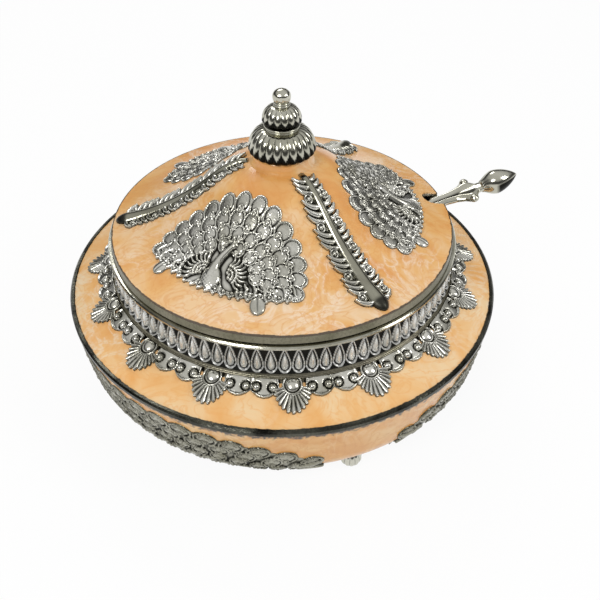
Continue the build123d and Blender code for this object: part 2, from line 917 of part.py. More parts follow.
row_half = lobe_pitch_angle * (lobes_across - 1) / 2
side_lobes = [
    (row_half + lobe_pitch_angle * step, lobe_z - lobe_side_drop * step)
    for step in range(1, lobe_sides_down + 1)
]
top_lobes = [(lobe_pitch_angle * n - row_half, lobe_z) for n in range(lobes_across)]
lobes = top_lobes + [(sign * a, z) for a, z in side_lobes for sign in (1, -1)]

with BuildPart() as one_bowl_panel:
    for half_angle, top in [(row_half, lobe_z)] + side_lobes + [
        (bowl_panel_half_angle, rim_z - bowl_panel_foot_drop)
    ]:
        extrude(sector(half_angle), amount=top)
    for angle, height in lobes:
        with BuildSketch(Plane(origin=polar(bowl_panel_inner_r, angle, height),
                               z_dir=polar(1, angle))):
            RegularPolygon(lobe_r, lobe_sides)
        extrude(amount=bowl_far_r - bowl_panel_inner_r)
    revolve(bowl_layer(-bowl_panel_relief, -seam, back_plane), axis=Axis.Z, mode=Mode.INTERSECT)

for number in range(foot_count):
    azimuth = bowl_panel_az + 360 / foot_count * number
    with BuildPart() as bowl_panel:
        with Locations(Rotation(0, 0, azimuth)):
            add(one_bowl_panel.part)
    bowl_panel.part.label = f"bowl_panel_{number + 1}"
    export_step(bowl_panel.part, f"parts/bowl_panel_{number + 1}.step")

# Finial base: a low disc on the lid's crown
stud_hole_r = stud_r + stud_fit
finial_z = lid_crown_z - enamel_t
finial_base_top = finial_z + enamel_t + finial_base_h

with BuildPart() as finial_base:
    with BuildSketch(Plane.XZ) as disc_half:
        Polygon(
            (stud_hole_r, finial_z),
            (lid_crown_r, finial_z),
            (lid_crown_r, finial_base_top),
            (stud_hole_r, finial_base_top),
            align=None,
        )
        top_corner = disc_half.vertices().group_by(Axis.X)[-1].sort_by(Axis.Y)[-1]
        chamfer(top_corner, length=finial_base_bevel)
    revolve(axis=Axis.Z)
finial_base.part.label = "finial_base"
export_step(finial_base.part, "parts/finial_base.step")

# Lower bulb: melon-shaped and fluted
lower_bulb_z = finial_base_top + seam
lower_levels = belly_levels(
    lower_bulb_h, lower_bulb_foot_r, lower_bulb_r, lower_bulb_neck_r, bulb_levels
)

with BuildPart() as finial_lower_bulb:
    add(fluted_piece(lower_levels, lower_flutes, Plane.XY.offset(lower_bulb_z)))
    Cylinder(stud_hole_r, 4 * lid_crown_z, mode=Mode.SUBTRACT)
finial_lower_bulb.part.label = "finial_lower_bulb"
export_step(finial_lower_bulb.part, "parts/finial_lower_bulb.step")

# Double ring between the bulbs
rings_z = lower_bulb_z + lower_bulb_h + seam
ring_t = rings_h / 4
ring_core_r = rings_r - ring_t

with BuildPart() as finial_rings:
    with BuildSketch(Plane.XZ):
        Polygon(
            (stud_hole_r, rings_z),
            (ring_core_r, rings_z),
            (ring_core_r, rings_z + rings_h),
            (stud_hole_r, rings_z + rings_h),
            align=None,
        )
        with Locations((ring_core_r, rings_z + ring_t), (ring_core_r, rings_z + 3 * ring_t)):
            RegularPolygon(ring_t, ring_sides, major_radius=False)
    revolve(axis=Axis.Z)
finial_rings.part.label = "finial_rings"
export_step(finial_rings.part, "parts/finial_rings.step")

# Upper bulb
upper_bulb_z = rings_z + rings_h + seam
upper_levels = belly_levels(
    upper_bulb_h, upper_bulb_foot_r, upper_bulb_r, upper_bulb_neck_r, bulb_levels
)

with BuildPart() as finial_upper_bulb:
    add(fluted_piece(upper_levels, upper_flutes, Plane.XY.offset(upper_bulb_z)))
    Cylinder(stud_hole_r, 4 * lid_crown_z, mode=Mode.SUBTRACT)
finial_upper_bulb.part.label = "finial_upper_bulb"
export_step(finial_upper_bulb.part, "parts/finial_upper_bulb.step")

# Neck ring under the tip
neck_ring_z = upper_bulb_z + upper_bulb_h + seam

with BuildPart() as finial_neck_ring:
    with BuildSketch(Plane.XZ) as neck_half:
        Polygon(
            (stud_hole_r, neck_ring_z),
            (neck_ring_r, neck_ring_z),
            (neck_ring_r, neck_ring_z + neck_ring_h),
            (stud_hole_r, neck_ring_z + neck_ring_h),
            align=None,
        )
        chamfer(neck_half.vertices().group_by(Axis.X)[-1], length=neck_ring_bevel)
    revolve(axis=Axis.Z)
finial_neck_ring.part.label = "finial_neck_ring"
export_step(finial_neck_ring.part, "parts/finial_neck_ring.step")

# Finial tip: an egg-shaped bud with a blind hole for the stud
tip_z = neck_ring_z + neck_ring_h + seam
stud_top = tip_z + stud_in_tip
tip_levels = belly_levels(tip_h, tip_foot_r, tip_r, tip_end_r, bulb_levels)

with BuildPart() as finial_tip:
    add(fluted_piece(tip_levels, tip_flutes, Plane.XY.offset(tip_z)))
    with BuildSketch(Plane.XY.offset(tip_z)) as blind_hole:
        Circle(stud_hole_r)
    extrude(blind_hole.sketch, amount=stud_in_tip + seam, mode=Mode.SUBTRACT)
finial_tip.part.label = "finial_tip"
export_step(finial_tip.part, "parts/finial_tip.step")

# Stud through the finial and the lid, with its washer and nut inside the lid
lid_under_z = lid_crown_z - lid_under
washer_z = lid_under_z - seam - washer_t
nut_z = washer_z - seam - nut_h

with BuildPart() as finial_stud:
    with BuildSketch(Plane.XY.offset(nut_z - stud_tail)):
        Circle(stud_r)
    extrude(amount=stud_top - nut_z + stud_tail)
finial_stud.part.label = "finial_stud"
export_step(finial_stud.part, "parts/finial_stud.step")

with BuildPart() as finial_washer:
    with BuildSketch(Plane.XY.offset(washer_z)):
        Circle(washer_r)
        Circle(stud_hole_r, mode=Mode.SUBTRACT)
    extrude(amount=washer_t)
finial_washer.part.label = "finial_washer"
export_step(finial_washer.part, "parts/finial_washer.step")

with BuildPart() as finial_nut:
    with BuildSketch(Plane.XY.offset(nut_z)):
        RegularPolygon(nut_across / 2, 6, major_radius=False)
        Circle(stud_hole_r, mode=Mode.SUBTRACT)
    extrude(amount=nut_h)
finial_nut.part.label = "finial_nut"
export_step(finial_nut.part, "parts/finial_nut.step")

# Spoon: an oval bowl on the floor and a shaft that bends out over the collar's edge
slope = math.radians(spoon_slope)
tilt = math.radians(spoon_bowl_tilt)
spoon_plane = Plane(origin=(0, 0, 0), x_dir=polar(1, spoon_az), z_dir=polar(1, spoon_az - 90))
out_way = Vector(math.cos(slope), math.sin(slope))
floor_z = foot_clear + bowl_inner_inset
half_length = spoon_bowl_length / 2
sag = spoon_bowl_depth * math.cos(tilt) + spoon_floor_length / 2 * math.sin(tilt)
bowl_centre = Vector(spoon_bowl_r, floor_z + spoon_floor_gap + sag)
bowl_end = bowl_centre + Vector(math.cos(tilt), math.sin(tilt)) * (half_length - spoon_bowl_wall)
rest_point = Vector(collar_inner_r, collar_top + shaft_rest_gap)
shaft_axis_z = rest_point.Y + shaft_t / 2 / math.cos(slope)
exit_point = Vector(collar_inner_r, shaft_axis_z)
bend_point = exit_point - out_way * bend_in
bud_start = exit_point + out_way * neck_out
bud_tip = bud_start + out_way * bud_length
bowl_plane = Plane(
    origin=spoon_plane.from_local_coords(bowl_centre),
    x_dir=polar(math.cos(tilt), spoon_az, math.sin(tilt)),
    z_dir=polar(-math.sin(tilt), spoon_az, math.cos(tilt)),
)


def spoon_oval(shrink):
    """The spoon bowl's oval form, smaller by shrink on every side."""
    with BuildPart() as oval:
        with BuildSketch(bowl_plane):
            Ellipse(half_length - shrink, spoon_bowl_w / 2 - shrink)
        with BuildSketch(bowl_plane.offset(shrink - spoon_bowl_depth)):
            Ellipse(spoon_floor_length / 2 - shrink, spoon_floor_w / 2 - shrink)
        loft(ruled=True)
    return oval.part


with BuildPart() as spoon_bowl:
    add(spoon_oval(0))
    add(spoon_oval(spoon_bowl_wall), mode=Mode.SUBTRACT)
spoon_bowl.part.label = "spoon_bowl"
export_step(spoon_bowl.part, "parts/spoon_bowl.step")


def shaft_line(side):
    """The shaft's bent line, moved square to itself by side."""
    corner = inset_corner(bowl_end, bend_point, bud_start, -side)
    start = bowl_end - inward(bowl_end, bend_point) * side
    end = bud_start - inward(bend_point, bud_start) * side
    return FilletPolyline(start, corner, end, radius=bend_fillet + side)


shoulder_r = exit_point.X + shoulder_out * math.cos(slope)
notch_clear_r = lid_edge_r + lid_band_proud + notch_gap

with BuildPart() as spoon_handle:
    with BuildSketch(spoon_plane):
        with BuildLine():
            top = shaft_line(shaft_t / 2)
            bottom = shaft_line(-shaft_t / 2)
            Line(top @ 0, bottom @ 0)
            Line(top @ 1, bottom @ 1)
        make_face()
    extrude(amount=shoulder_w, both=True)
    with BuildSketch(Plane(origin=(0, 0, 0), x_dir=polar(1, spoon_az), z_dir=(0, 0, 1))):
        with BuildLine():
            start_r = bowl_end.X - shaft_t
            end_r = bud_start.X + neck_lap
            Polyline(
                (start_r, 0),
                (start_r, shaft_inner_w / 2),
                (collar_inner_r - flare_run, shaft_inner_w / 2),
                (collar_inner_r, shaft_exit_w / 2),
                (notch_clear_r, shaft_exit_w / 2),
                (shoulder_r - shoulder_flare, shaft_exit_w / 2 + shoulder_flare / 3),
                (shoulder_r, shoulder_w / 2),
                (shoulder_r + neck_lap, shoulder_w / 2 - neck_lap / 2),
                (bud_start.X - neck_lap, neck_w / 2),
                (end_r, neck_w / 2),
                (end_r, 0),
                (start_r, 0),
            )
        make_face()
        mirror(about=Plane.XZ)
    extrude(amount=2 * lid_crown_z, mode=Mode.INTERSECT)
    with BuildSketch(spoon_plane):
        square = Vector(-out_way.Y, out_way.X)
        bud_side = [bud_start + out_way * rise + square * radius
                    for rise, radius in belly_levels(bud_length, neck_w / 2, bud_r, 0, bud_levels)]
        Polygon(bud_start - out_way * neck_lap,
                bud_start - out_way * neck_lap + square * (neck_w / 2),
                *bud_side, align=None)
    revolve(axis=Axis(spoon_plane.from_local_coords(bud_start),
                      polar(math.cos(slope), spoon_az, math.sin(slope))))
    add(spoon_oval(-seam), mode=Mode.SUBTRACT)
    with BuildSketch(bowl_plane.offset(-seam)) as over_bowl:
        Ellipse(half_length + seam, spoon_bowl_w / 2 + seam)
    extrude(over_bowl.sketch, amount=spoon_bowl_depth, mode=Mode.SUBTRACT)
spoon_handle.part.label = "spoon_handle"
export_step(spoon_handle.part, "parts/spoon_handle.step")
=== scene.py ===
import math

import bpy
import numpy as np
from mathutils import Matrix


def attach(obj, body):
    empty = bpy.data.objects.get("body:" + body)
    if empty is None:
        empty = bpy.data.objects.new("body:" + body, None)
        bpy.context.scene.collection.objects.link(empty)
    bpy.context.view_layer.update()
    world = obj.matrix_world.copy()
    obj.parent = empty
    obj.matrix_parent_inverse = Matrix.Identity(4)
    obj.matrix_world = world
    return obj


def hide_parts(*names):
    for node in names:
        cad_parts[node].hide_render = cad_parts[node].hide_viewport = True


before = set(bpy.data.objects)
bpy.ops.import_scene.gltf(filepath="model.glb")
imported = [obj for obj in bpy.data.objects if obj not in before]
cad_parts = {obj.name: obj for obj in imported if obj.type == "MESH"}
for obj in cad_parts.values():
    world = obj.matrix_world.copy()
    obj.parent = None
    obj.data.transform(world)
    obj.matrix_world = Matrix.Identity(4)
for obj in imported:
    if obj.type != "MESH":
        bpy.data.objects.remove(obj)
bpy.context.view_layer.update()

coarse = 1.0

# Sizes of the solids that carry the ornament, in mm. A pair is a radius and a height, but strip_z
# is the strip's foot and top, and strip_flare the height where its flare begins and its slope.
rim = (115.0, 55.0)
rim_to_hip = np.array((-5.0, -37.3)) / math.hypot(5.0, 37.3)
hip_to_base = np.array((-48.0, -11.7)) / math.hypot(48.0, 11.7)
side_run = 26.70
hip_round = 16.0
brim_inner = (93.0, 62.95)
brim_outer = (113.45, 55.15)
enamel_lift = 0.85
lid_shoulder = (16.0, 123.95)
lid_turn = (34.4, 114.45)
lid_edge = (88.5, 89.15)
ogee_slope = math.radians(40.5)
strip_r = 88.15
strip_inner_r = 87.05
strip_z = (66.9, 82.15)
strip_flare = (70.4, 0.62)
drop_count = 90
drop_r = 2.95
drop_centre_z = 70.75
fan_count = 16
fan_start = math.radians(-86.0)
fan_turn = math.radians(7.6)
rib_azimuths = np.radians((-56.0, 64.0, 184.0))
peacock_azimuths = np.radians((-116.0, 4.0, 124.0))
bowl_panel_azimuths = np.radians((-129.0, -9.0, 111.0))
foot_azimuths = np.radians((-68.0, 52.0, 172.0))
foot_r = 97.04
foot_ball = 5.75
foot_centre_z = 5.25
spoon_azimuth = math.radians(12.75)
spoon_slope = math.radians(16.6)

# How the relief is made, in mm: its unraised ground, its back, and what its recesses are
sunk = -0.35
shell_depth = 0.6
raised_from = 0.02
recess_reach = 0.9
recess_full = 0.34

# Lengths that several pieces share, in mm, and a millimetre in metres
stud_bore = 2.12
mm = 0.001


# Meshes

def outward(points, quads):
    """Quads turned so that the closed surface's volume, summed over its corners, is positive."""
    a, b, c, d = (points[quads[:, k]] for k in range(4))
    volume = np.einsum("ij,ij->", a, np.cross(b, c)) + np.einsum("ij,ij->", a, np.cross(c, d))
    return quads if volume > 0 else quads[:, ::-1]


def joined(parts):
    """Several surfaces, each its corners, quads and recess, as one."""
    points, quads, recess, count = [], [], [], 0
    for corners, faces, dark in parts:
        points.append(corners)
        quads.append(faces + count)
        recess.append(dark)
        count += len(corners)
    return np.concatenate(points), np.concatenate(quads), np.concatenate(recess)


def put_in_scene(name, data):
    """A new object with its data, linked to the scene."""
    thing = bpy.data.objects.new(name, data)
    bpy.context.scene.collection.objects.link(thing)
    return thing


def make_piece(name, surface, body, material, stands_for):
    """A piece from a surface in mm; a quad with two equal neighbouring corners is a triangle."""
    points, quads, recess = surface
    same = quads == np.roll(quads, -1, axis=1)
    faces = quads[~same.any(axis=1)].tolist()
    for corner in range(4):
        pinched = same[:, corner] & (same.sum(axis=1) == 1)
        faces += np.delete(quads[pinched], corner, axis=1).tolist()
    mesh = bpy.data.meshes.new(name)
    mesh.from_pydata((points * mm).tolist(), [], faces)
    mesh.polygons.foreach_set("use_smooth", np.ones(len(mesh.polygons), dtype=bool))
    # The recess attribute is the share of painted shade that the metal finishes darken by.
    dark = mesh.attributes.new("recess", "FLOAT", "POINT")
    dark.data.foreach_set("value", np.clip(recess, 0, 1).astype(np.float32))
    mesh.materials.append(material)
    piece = put_in_scene(name, mesh)
    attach(piece, body)
    if stands_for:
        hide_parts(*stands_for)


def closed_band(points, recess=None):
    """Rows of points round a section, each row a ring: both ways the last joins the first."""
    rows, columns = points.shape[:2]
    index = np.arange(rows * columns).reshape(rows, columns)
    down, across = np.roll(index, -1, axis=0), np.roll(index, -1, axis=1)
    corner = np.roll(down, -1, axis=1)
    quads = np.stack([index, down, corner, across], axis=-1).reshape(-1, 4)
    flat = points.reshape(-1, 3)
    dark = np.zeros(len(flat)) if recess is None else recess.reshape(-1)
    return flat, outward(flat, quads), dark


def closed_pod(points, recess=None):
    """Rows of points from one end to the other, each a ring, closed by a point at each end."""
    rows, columns = points.shape[:2]
    ends = np.stack([points[0].mean(axis=0), points[-1].mean(axis=0)])
    index = np.arange(rows * columns).reshape(rows, columns)
    side = np.stack([index[:-1], index[1:], np.roll(index[1:], -1, axis=1),
                     np.roll(index[:-1], -1, axis=1)], axis=-1).reshape(-1, 4)
    first, last = rows * columns, rows * columns + 1
    start = np.stack([np.full(columns, first), np.full(columns, first), index[0],
                      np.roll(index[0], -1)], axis=-1)
    finish = np.stack([index[-1], np.full(columns, last), np.full(columns, last),
                       np.roll(index[-1], -1)], axis=-1)
    flat = np.concatenate([points.reshape(-1, 3), ends])
    dark = np.zeros(len(flat)) if recess is None else np.append(recess.reshape(-1), (0, 0))
    return flat, outward(flat, np.concatenate([side, start, finish])), dark


def ring_angles(columns):
    """Angles of the columns of a surface that closes round an axis."""
    return np.linspace(0, 2 * math.pi, columns, endpoint=False)


def sawtooth(angle, count):
    """0 in the middle of each of count equal parts of a turn, 1 on the lines between them."""
    return np.abs((angle * count / (2 * math.pi)) % 1 * 2 - 1)


def swung(section, turn):
    """Radius and height of a section's points, carried round the upright axis by an angle."""
    return np.stack([section[..., 0] * np.cos(turn), section[..., 0] * np.sin(turn),
                     section[..., 1]], axis=-1)


def turned(profile, columns, radius_by=None):
    """A profile of radius and height carried round the axis; radius_by(angle, share) scales it."""
    profile = np.asarray(profile, float)
    angle = ring_angles(columns)
    share = np.linspace(0, 1, len(profile))[:, None]
    factor = np.ones((len(profile), columns)) if radius_by is None else radius_by(angle, share)
    radius = profile[:, :1] * factor
    return swung(np.stack([radius, np.broadcast_to(profile[:, 1:], radius.shape)], axis=-1), angle)


def arc(out, height, radius, first, last, count):
    """Points of a profile's round part, from one bearing in degrees to another."""
    bearing = np.radians(np.linspace(first, last, count))
    return np.stack([out + radius * np.cos(bearing), height + radius * np.sin(bearing)], axis=-1)


def round_axis(points, azimuth):
    """Points turned about the upright axis by an azimuth."""
    cos, sin = math.cos(azimuth), math.sin(azimuth)
    x, y = points[..., 0], points[..., 1]
    return np.stack([cos * x - sin * y, sin * x + cos * y, points[..., 2]], axis=-1)


# Places: where a point of a flat pattern lies on the object, and the way out of the surface

def in_plan(out, across, height, lean, rise):
    """Points at a height over their place in plan, and normals that lean away from the axis."""
    radius = np.hypot(out, across)
    normal = np.stack([lean * out / radius, lean * across / radius, rise], axis=-1)
    return np.stack([out, across, height], axis=-1), normal


def lid_place(out, across):
    """On the lid's ogee, seen in plan: a round arc down to the turn and a hollow one beyond it.

    Both arcs follow the slope at the turn, so their centres lie on the line square to it there.
    """
    square = np.array((math.sin(ogee_slope), math.cos(ogee_slope)))
    hollow, bulge = np.subtract(lid_edge, lid_turn), np.subtract(lid_shoulder, lid_turn)
    hollow_r = (hollow @ hollow) / (2 * (hollow @ square))
    bulge_r = (bulge @ bulge) / (-2 * (bulge @ square))
    low, high = lid_turn + square * hollow_r, lid_turn - square * bulge_r
    radius = np.hypot(out, across)
    outer = low[1] - np.sqrt(np.clip(hollow_r ** 2 - (radius - low[0]) ** 2, 1, None))
    inner = high[1] + np.sqrt(np.clip(bulge_r ** 2 - (radius - high[0]) ** 2, 1, None))
    beyond = radius > lid_turn[0]
    lean = np.where(beyond, (low[0] - radius) / hollow_r, (radius - high[0]) / bulge_r)
    lean = np.clip(lean, 0, 0.99)
    return in_plan(out, across, np.where(beyond, outer, inner), lean, np.sqrt(1 - lean ** 2))


def brim_place(out, across):
    """On the brim's cone, seen in plan."""
    fall = (brim_outer[1] - brim_inner[1]) / (brim_outer[0] - brim_inner[0])
    height = brim_inner[1] + (np.hypot(out, across) - brim_inner[0]) * fall + enamel_lift
    size = math.hypot(1, fall)
    return in_plan(out, across, height, -fall / size, np.full(out.shape, 1 / size))


def bowl_place(down, across):
    """On the bowl's side: a leaning run, an arc round the hip and a run in under it."""
    side_out = np.array((-rim_to_hip[1], rim_to_hip[0]))
    hip_angle = math.acos(rim_to_hip @ hip_to_base)
    arc_start = np.add(rim, rim_to_hip * side_run)
    centre = arc_start - side_out * hip_round
    angle = np.clip((down - side_run) / hip_round, 0, hip_angle)
    out = np.cos(angle)[..., None] * side_out + np.sin(angle)[..., None] * rim_to_hip
    run_in = np.clip(down - side_run - hip_round * hip_angle, 0, None)[..., None]
    on_side = np.add(rim, down[..., None] * rim_to_hip)
    on_hip = centre + out * hip_round + run_in * hip_to_base
    section = np.where((down < side_run)[..., None], on_side, on_hip)
    turn = across / rim[0]
    return swung(section, turn), swung(out, turn)


def spoon_place(point, across):
    """A point of the spoon's upright plane, moved sideways by across."""
    out, across, up = np.broadcast_arrays(point[..., 0], across, point[..., 1])
    return round_axis(np.stack([out, across, up], axis=-1), spoon_azimuth)


def placed_at(place, azimuth):
    """The same places with the pattern's middle at an azimuth."""
    return lambda out, across: [round_axis(part, azimuth) for part in place(out, across)]


# Relief

def bend(start, control, end):
    """Points on a curve that leaves start towards control and comes from it to end."""
    t = np.linspace(0, 1, 7)[:, None]
    return ((1 - t) ** 2 * np.asarray(start) + 2 * t * (1 - t) * np.asarray(control)
            + t ** 2 * np.asarray(end))


def dome(distance):
    """Height of a round back, 1 at the middle and 0 from the edge on."""
    return np.sqrt(np.clip(1 - distance ** 2, 0, 1))


def softened(height, cells):
    """Each height replaced by the mean of a square round it, twice."""
    for axis in (0, 1, 0, 1):
        edge = [(0, 0), (0, 0)]
        edge[axis] = (cells + 1, cells)
        total = np.cumsum(np.pad(height, edge, mode="edge"), axis=axis)
        width = 2 * cells + 1
        if axis == 0:
            height = (total[width:] - total[:-width]) / width
        else:
            height = (total[:, width:] - total[:, :-width]) / width
    return height


class Relief:
    """Heights over a flat grid, in mm: x runs outwards or down, y anticlockwise."""

    def __init__(self, x_range, y_range, step):
        self.step = step * coarse
        self.x = np.arange(x_range[0], x_range[1] + self.step, self.step)
        self.y = np.arange(y_range[0], y_range[1] + self.step, self.step)
        self.height = np.full((len(self.x), len(self.y)), sunk)

    def near(self, points, reach):
        """The part of the grid within reach of some points, and its coordinates."""
        low, high = np.min(points, axis=0) - reach, np.max(points, axis=0) + reach
        rows = slice(*np.searchsorted(self.x, (low[0], high[0])))
        columns = slice(*np.searchsorted(self.y, (low[1], high[1])))
        return rows, columns, self.x[rows, None], self.y[None, columns]

    def raise_to(self, rows, columns, heights, inside):
        """Heights inside a form go up to the given ones where they are lower."""
        part = self.height[rows, columns]
        part[inside] = np.maximum(part, heights)[inside]

    def stroke(self, points, halves, height, floor):
        """A round-backed stroke along a bent line, whose half width changes along it."""
        points, halves = np.asarray(points, float), np.asarray(halves, float)
        halves = np.interp(np.linspace(0, 1, len(points)), np.linspace(0, 1, len(halves)), halves)
        rows, columns, x, y = self.near(points, halves.max())
        back = np.zeros((x.shape[0], y.shape[1]))
        for a, b, first, second in zip(points[:-1], points[1:], halves[:-1], halves[1:]):
            run = b - a
            t = np.clip(((x - a[0]) * run[0] + (y - a[1]) * run[1]) / (run @ run), 0, 1)
            gap = np.hypot(x - a[0] - t * run[0], y - a[1] - t * run[1])
            back = np.maximum(back, dome(gap / (first + t * (second - first))))
        self.raise_to(rows, columns, floor + (height - floor) * back, back > 0)

    def oval(self, centre, halves, turn, profile, cuts=True):
        """An oval whose profile(along, aside, distance) gives its height.

        It cuts away what is under it, or else only raises what is lower.
        """
        rows, columns, x, y = self.near([centre], max(halves))
        x, y = x - centre[0], y - centre[1]
        along = x * math.cos(turn) + y * math.sin(turn)
        aside = y * math.cos(turn) - x * math.sin(turn)
        distance = np.hypot(along / halves[0], aside / halves[1])
        heights = profile(along, aside, distance)
        inside = distance < 1
        if cuts:
            self.height[rows, columns][inside] = heights[inside]
        else:
            self.raise_to(rows, columns, heights, inside)

    def bead(self, centre, radius, height, floor=0.3):
        """A small round bead."""
        self.oval(centre, (radius, radius), 0,
                  lambda p, q, d: floor + (height - floor) * dome(d), cuts=False)

    def shell(self, place):
        """The closed shell of what is raised, its back just under the surface that carries it."""
        out, across = np.meshgrid(self.x, self.y, indexing="ij")
        points, normal = place(out, across)
        top = points + normal * self.height[..., None]
        back = points - normal * shell_depth
        raised = self.height > raised_from
        keep = raised[:-1, :-1] | raised[1:, :-1] | raised[1:, 1:] | raised[:-1, 1:]
        rows, columns = self.height.shape
        index = np.arange(rows * columns).reshape(rows, columns)
        corners = [index[:-1, :-1], index[1:, :-1], index[1:, 1:], index[:-1, 1:]]
        padded = np.pad(keep, 1)
        beside = [padded[1:-1, :-2], padded[2:, 1:-1], padded[1:-1, 2:], padded[:-2, 1:-1]]
        count = rows * columns
        upper = np.stack([c[keep] for c in corners], axis=-1)
        quads = [upper, upper[:, ::-1] + count]
        for side in range(4):
            wall = keep & ~beside[side]
            a, b = corners[side][wall], corners[(side + 1) % 4][wall]
            quads.append(np.stack([b, a, a + count, b + count], axis=-1))
        quads = np.concatenate(quads)
        used, quads = np.unique(quads, return_inverse=True)
        recess = self.recess().reshape(-1)
        flat = np.concatenate([top.reshape(-1, 3), back.reshape(-1, 3)])[used]
        return flat, quads.reshape(-1, 4), np.concatenate([recess, recess])[used]

    def recess(self):
        """How deep a point lies under the mean height round it, from 0 to 1, which the metal shows
        as painted shade.
        """
        height = np.clip(self.height, 0, None)
        cells = max(1, round(recess_reach / self.step))
        return np.clip((softened(height, cells) - height) / recess_full, 0, 1)


# Materials

def paint(red, green, blue):
    """A colour as it is seen, given from 0 to 255, as the light that it stands for."""
    share = np.array((red, green, blue)) / 255
    light = np.where(share <= 0.04045, share / 12.92, ((share + 0.055) / 1.055) ** 2.4)
    return (*light.tolist(), 1.0)


def grey(level):
    """A plain grey as a ramp's colour."""
    return (level, level, level, 1.0)


class Nodes:
    """The nodes of a material or of the world, added one after the other."""

    def __init__(self, owner):
        owner.use_nodes = True
        self.nodes, self.links = owner.node_tree.nodes, owner.node_tree.links
        self.coordinates = self.nodes.new("ShaderNodeTexCoord").outputs

    def feed(self, socket, value):
        """A value is set on a socket, and an output is linked to it."""
        if isinstance(value, bpy.types.NodeSocket):
            self.links.new(value, socket)
        else:
            socket.default_value = value

    def feed_all(self, node, inputs):
        """A node's inputs fed by their names, with an underscore for a space."""
        for name, value in inputs.items():
            self.feed(node.inputs[name.replace("_", " ")], value)

    def node(self, kind, outlet, **inputs):
        """A node with its inputs fed, and the outlet that is wanted."""
        node = self.nodes.new(kind)
        self.feed_all(node, inputs)
        return node.outputs[outlet]

    def shade(self, **inputs):
        """The inputs of the material's own shader."""
        self.feed_all(self.nodes["Principled BSDF"], inputs)

    def noise(self, scale, detail, distortion=0.0, roughness=0.5, stretch=(1, 1, 1),
              shift=(0, 0, 0)):
        """Cloudy noise over the object, its features about 1/scale metres apart."""
        moved = self.node("ShaderNodeMapping", "Vector", Vector=self.coordinates["Object"],
                          Scale=stretch, Location=shift)
        return self.node("ShaderNodeTexNoise", "Fac", Vector=moved, Scale=scale, Detail=detail,
                         Distortion=distortion, Roughness=roughness)

    def steps(self, share, *stops):
        """Colours at places from 0 to 1."""
        node = self.nodes.new("ShaderNodeValToRGB")
        self.feed(node.inputs["Fac"], share)
        ramp = node.color_ramp.elements
        while len(ramp) < len(stops):
            ramp.new(0.5)
        for element, (place, colour) in zip(ramp, stops):
            element.position = place
            element.color = colour
        return node.outputs["Color"]

    def levels(self, share, *stops):
        """Greys at places from 0 to 1."""
        return self.steps(share, *((place, grey(level)) for place, level in stops))

    def blend(self, share, first, second):
        """Two colours mixed by a share."""
        node = self.nodes.new("ShaderNodeMix")
        node.data_type = "RGBA"
        for socket, value in ((0, share), (6, first), (7, second)):
            self.feed(node.inputs[socket], value)
        return node.outputs[2]

    def reckon(self, kind, *numbers):
        """A sum on one, two or three numbers."""
        node = self.nodes.new("ShaderNodeMath")
        node.operation = kind
        for socket, number in zip(node.inputs, numbers):
            self.feed(socket, number)
        return node.outputs[0]

    def off_middle(self, noise):
        """How far a noise is from its middle value: near 0 along thin wandering lines."""
        return self.reckon("ABSOLUTE", self.reckon("SUBTRACT", noise, 0.5))

    def bump(self, height, depth):
        """The surface's normal, tilted by a height in shares of depth metres."""
        return self.node("ShaderNodeBump", "Normal", Height=height, Distance=depth)

    def mix_shaders(self, share, first, second):
        """Two shaders mixed by a share."""
        node = self.nodes.new("ShaderNodeMixShader")
        for socket, value in zip(node.inputs, (share, first, second)):
            self.feed(socket, value)
        return node.outputs[0]

    def seen_by(self, *kinds):
        """1 for the named kinds of ray, 0 for others."""
        path = self.nodes.new("ShaderNodeLightPath").outputs
        total = path[kinds[0]]
        for kind in kinds[1:]:
            total = self.reckon("MAXIMUM", total, path[kind])
        return total


def enamel_finish(name, deep, body, pale, wisp, shift, edge, waver=0.0012, softness=0.00025):
    """Poured pearl enamel that ends in a ragged dark line from a radius on, in metres.

    Soft clouds run through three tones. Pale wisps lie along thin lines where patches let them,
    and streaks of the deep tone cross them. The line wavers with a fine noise.
    """
    material = bpy.data.materials.new(name)
    f = Nodes(material)
    clouds = f.noise(26, 4, 1.4, shift=shift)
    colour = f.steps(clouds, (0.30, deep), (0.46, body), (0.62, pale))
    veins = f.noise(34, 5, 2.6, 0.55, (1, 1, 1.3), (0.3 + shift[0], 0.1, 0.2))
    wisps = f.levels(f.off_middle(veins), (0.0, 1.0), (0.035, 0.35), (0.08, 0.0))
    patches = f.levels(f.noise(14, 2, 0.5, shift=(0.7, shift[1], 0.4)), (0.45, 0.0), (0.62, 0.7))
    colour = f.blend(f.reckon("MULTIPLY", wisps, patches), colour, wisp)
    cracks = f.noise(48, 4, 3.2, 0.5, (1, 1.2, 1), (0.9, 0.5 + shift[2], 0.1))
    streaks = f.levels(f.off_middle(cracks), (0.0, 0.55), (0.03, 0.15), (0.06, 0.0))
    colour = f.blend(streaks, colour, deep)
    split = f.node("ShaderNodeSeparateXYZ", "X", Vector=f.coordinates["Object"]).node.outputs
    squares = [f.reckon("MULTIPLY", way, way) for way in (split["X"], split["Y"])]
    radius = f.reckon("SQRT", f.reckon("ADD", *squares))
    ragged = f.reckon("MULTIPLY_ADD", f.noise(420, 3), waver, radius)
    past = f.reckon("SUBTRACT", ragged, edge + waver / 2)
    line = f.levels(f.reckon("MULTIPLY", past, 1 / softness), (0.0, 0.0), (1.0, 0.93))
    f.shade(Base_Color=f.blend(line, colour, (0.02, 0.016, 0.01, 1)),
            Roughness=f.reckon("MULTIPLY_ADD", clouds, 0.12, 0.24), Specular_IOR_Level=0.45,
            Coat_Weight=0.35, Coat_Roughness=0.08, Normal=f.bump(f.noise(60, 2, 0.3), 0.0004))
    return material


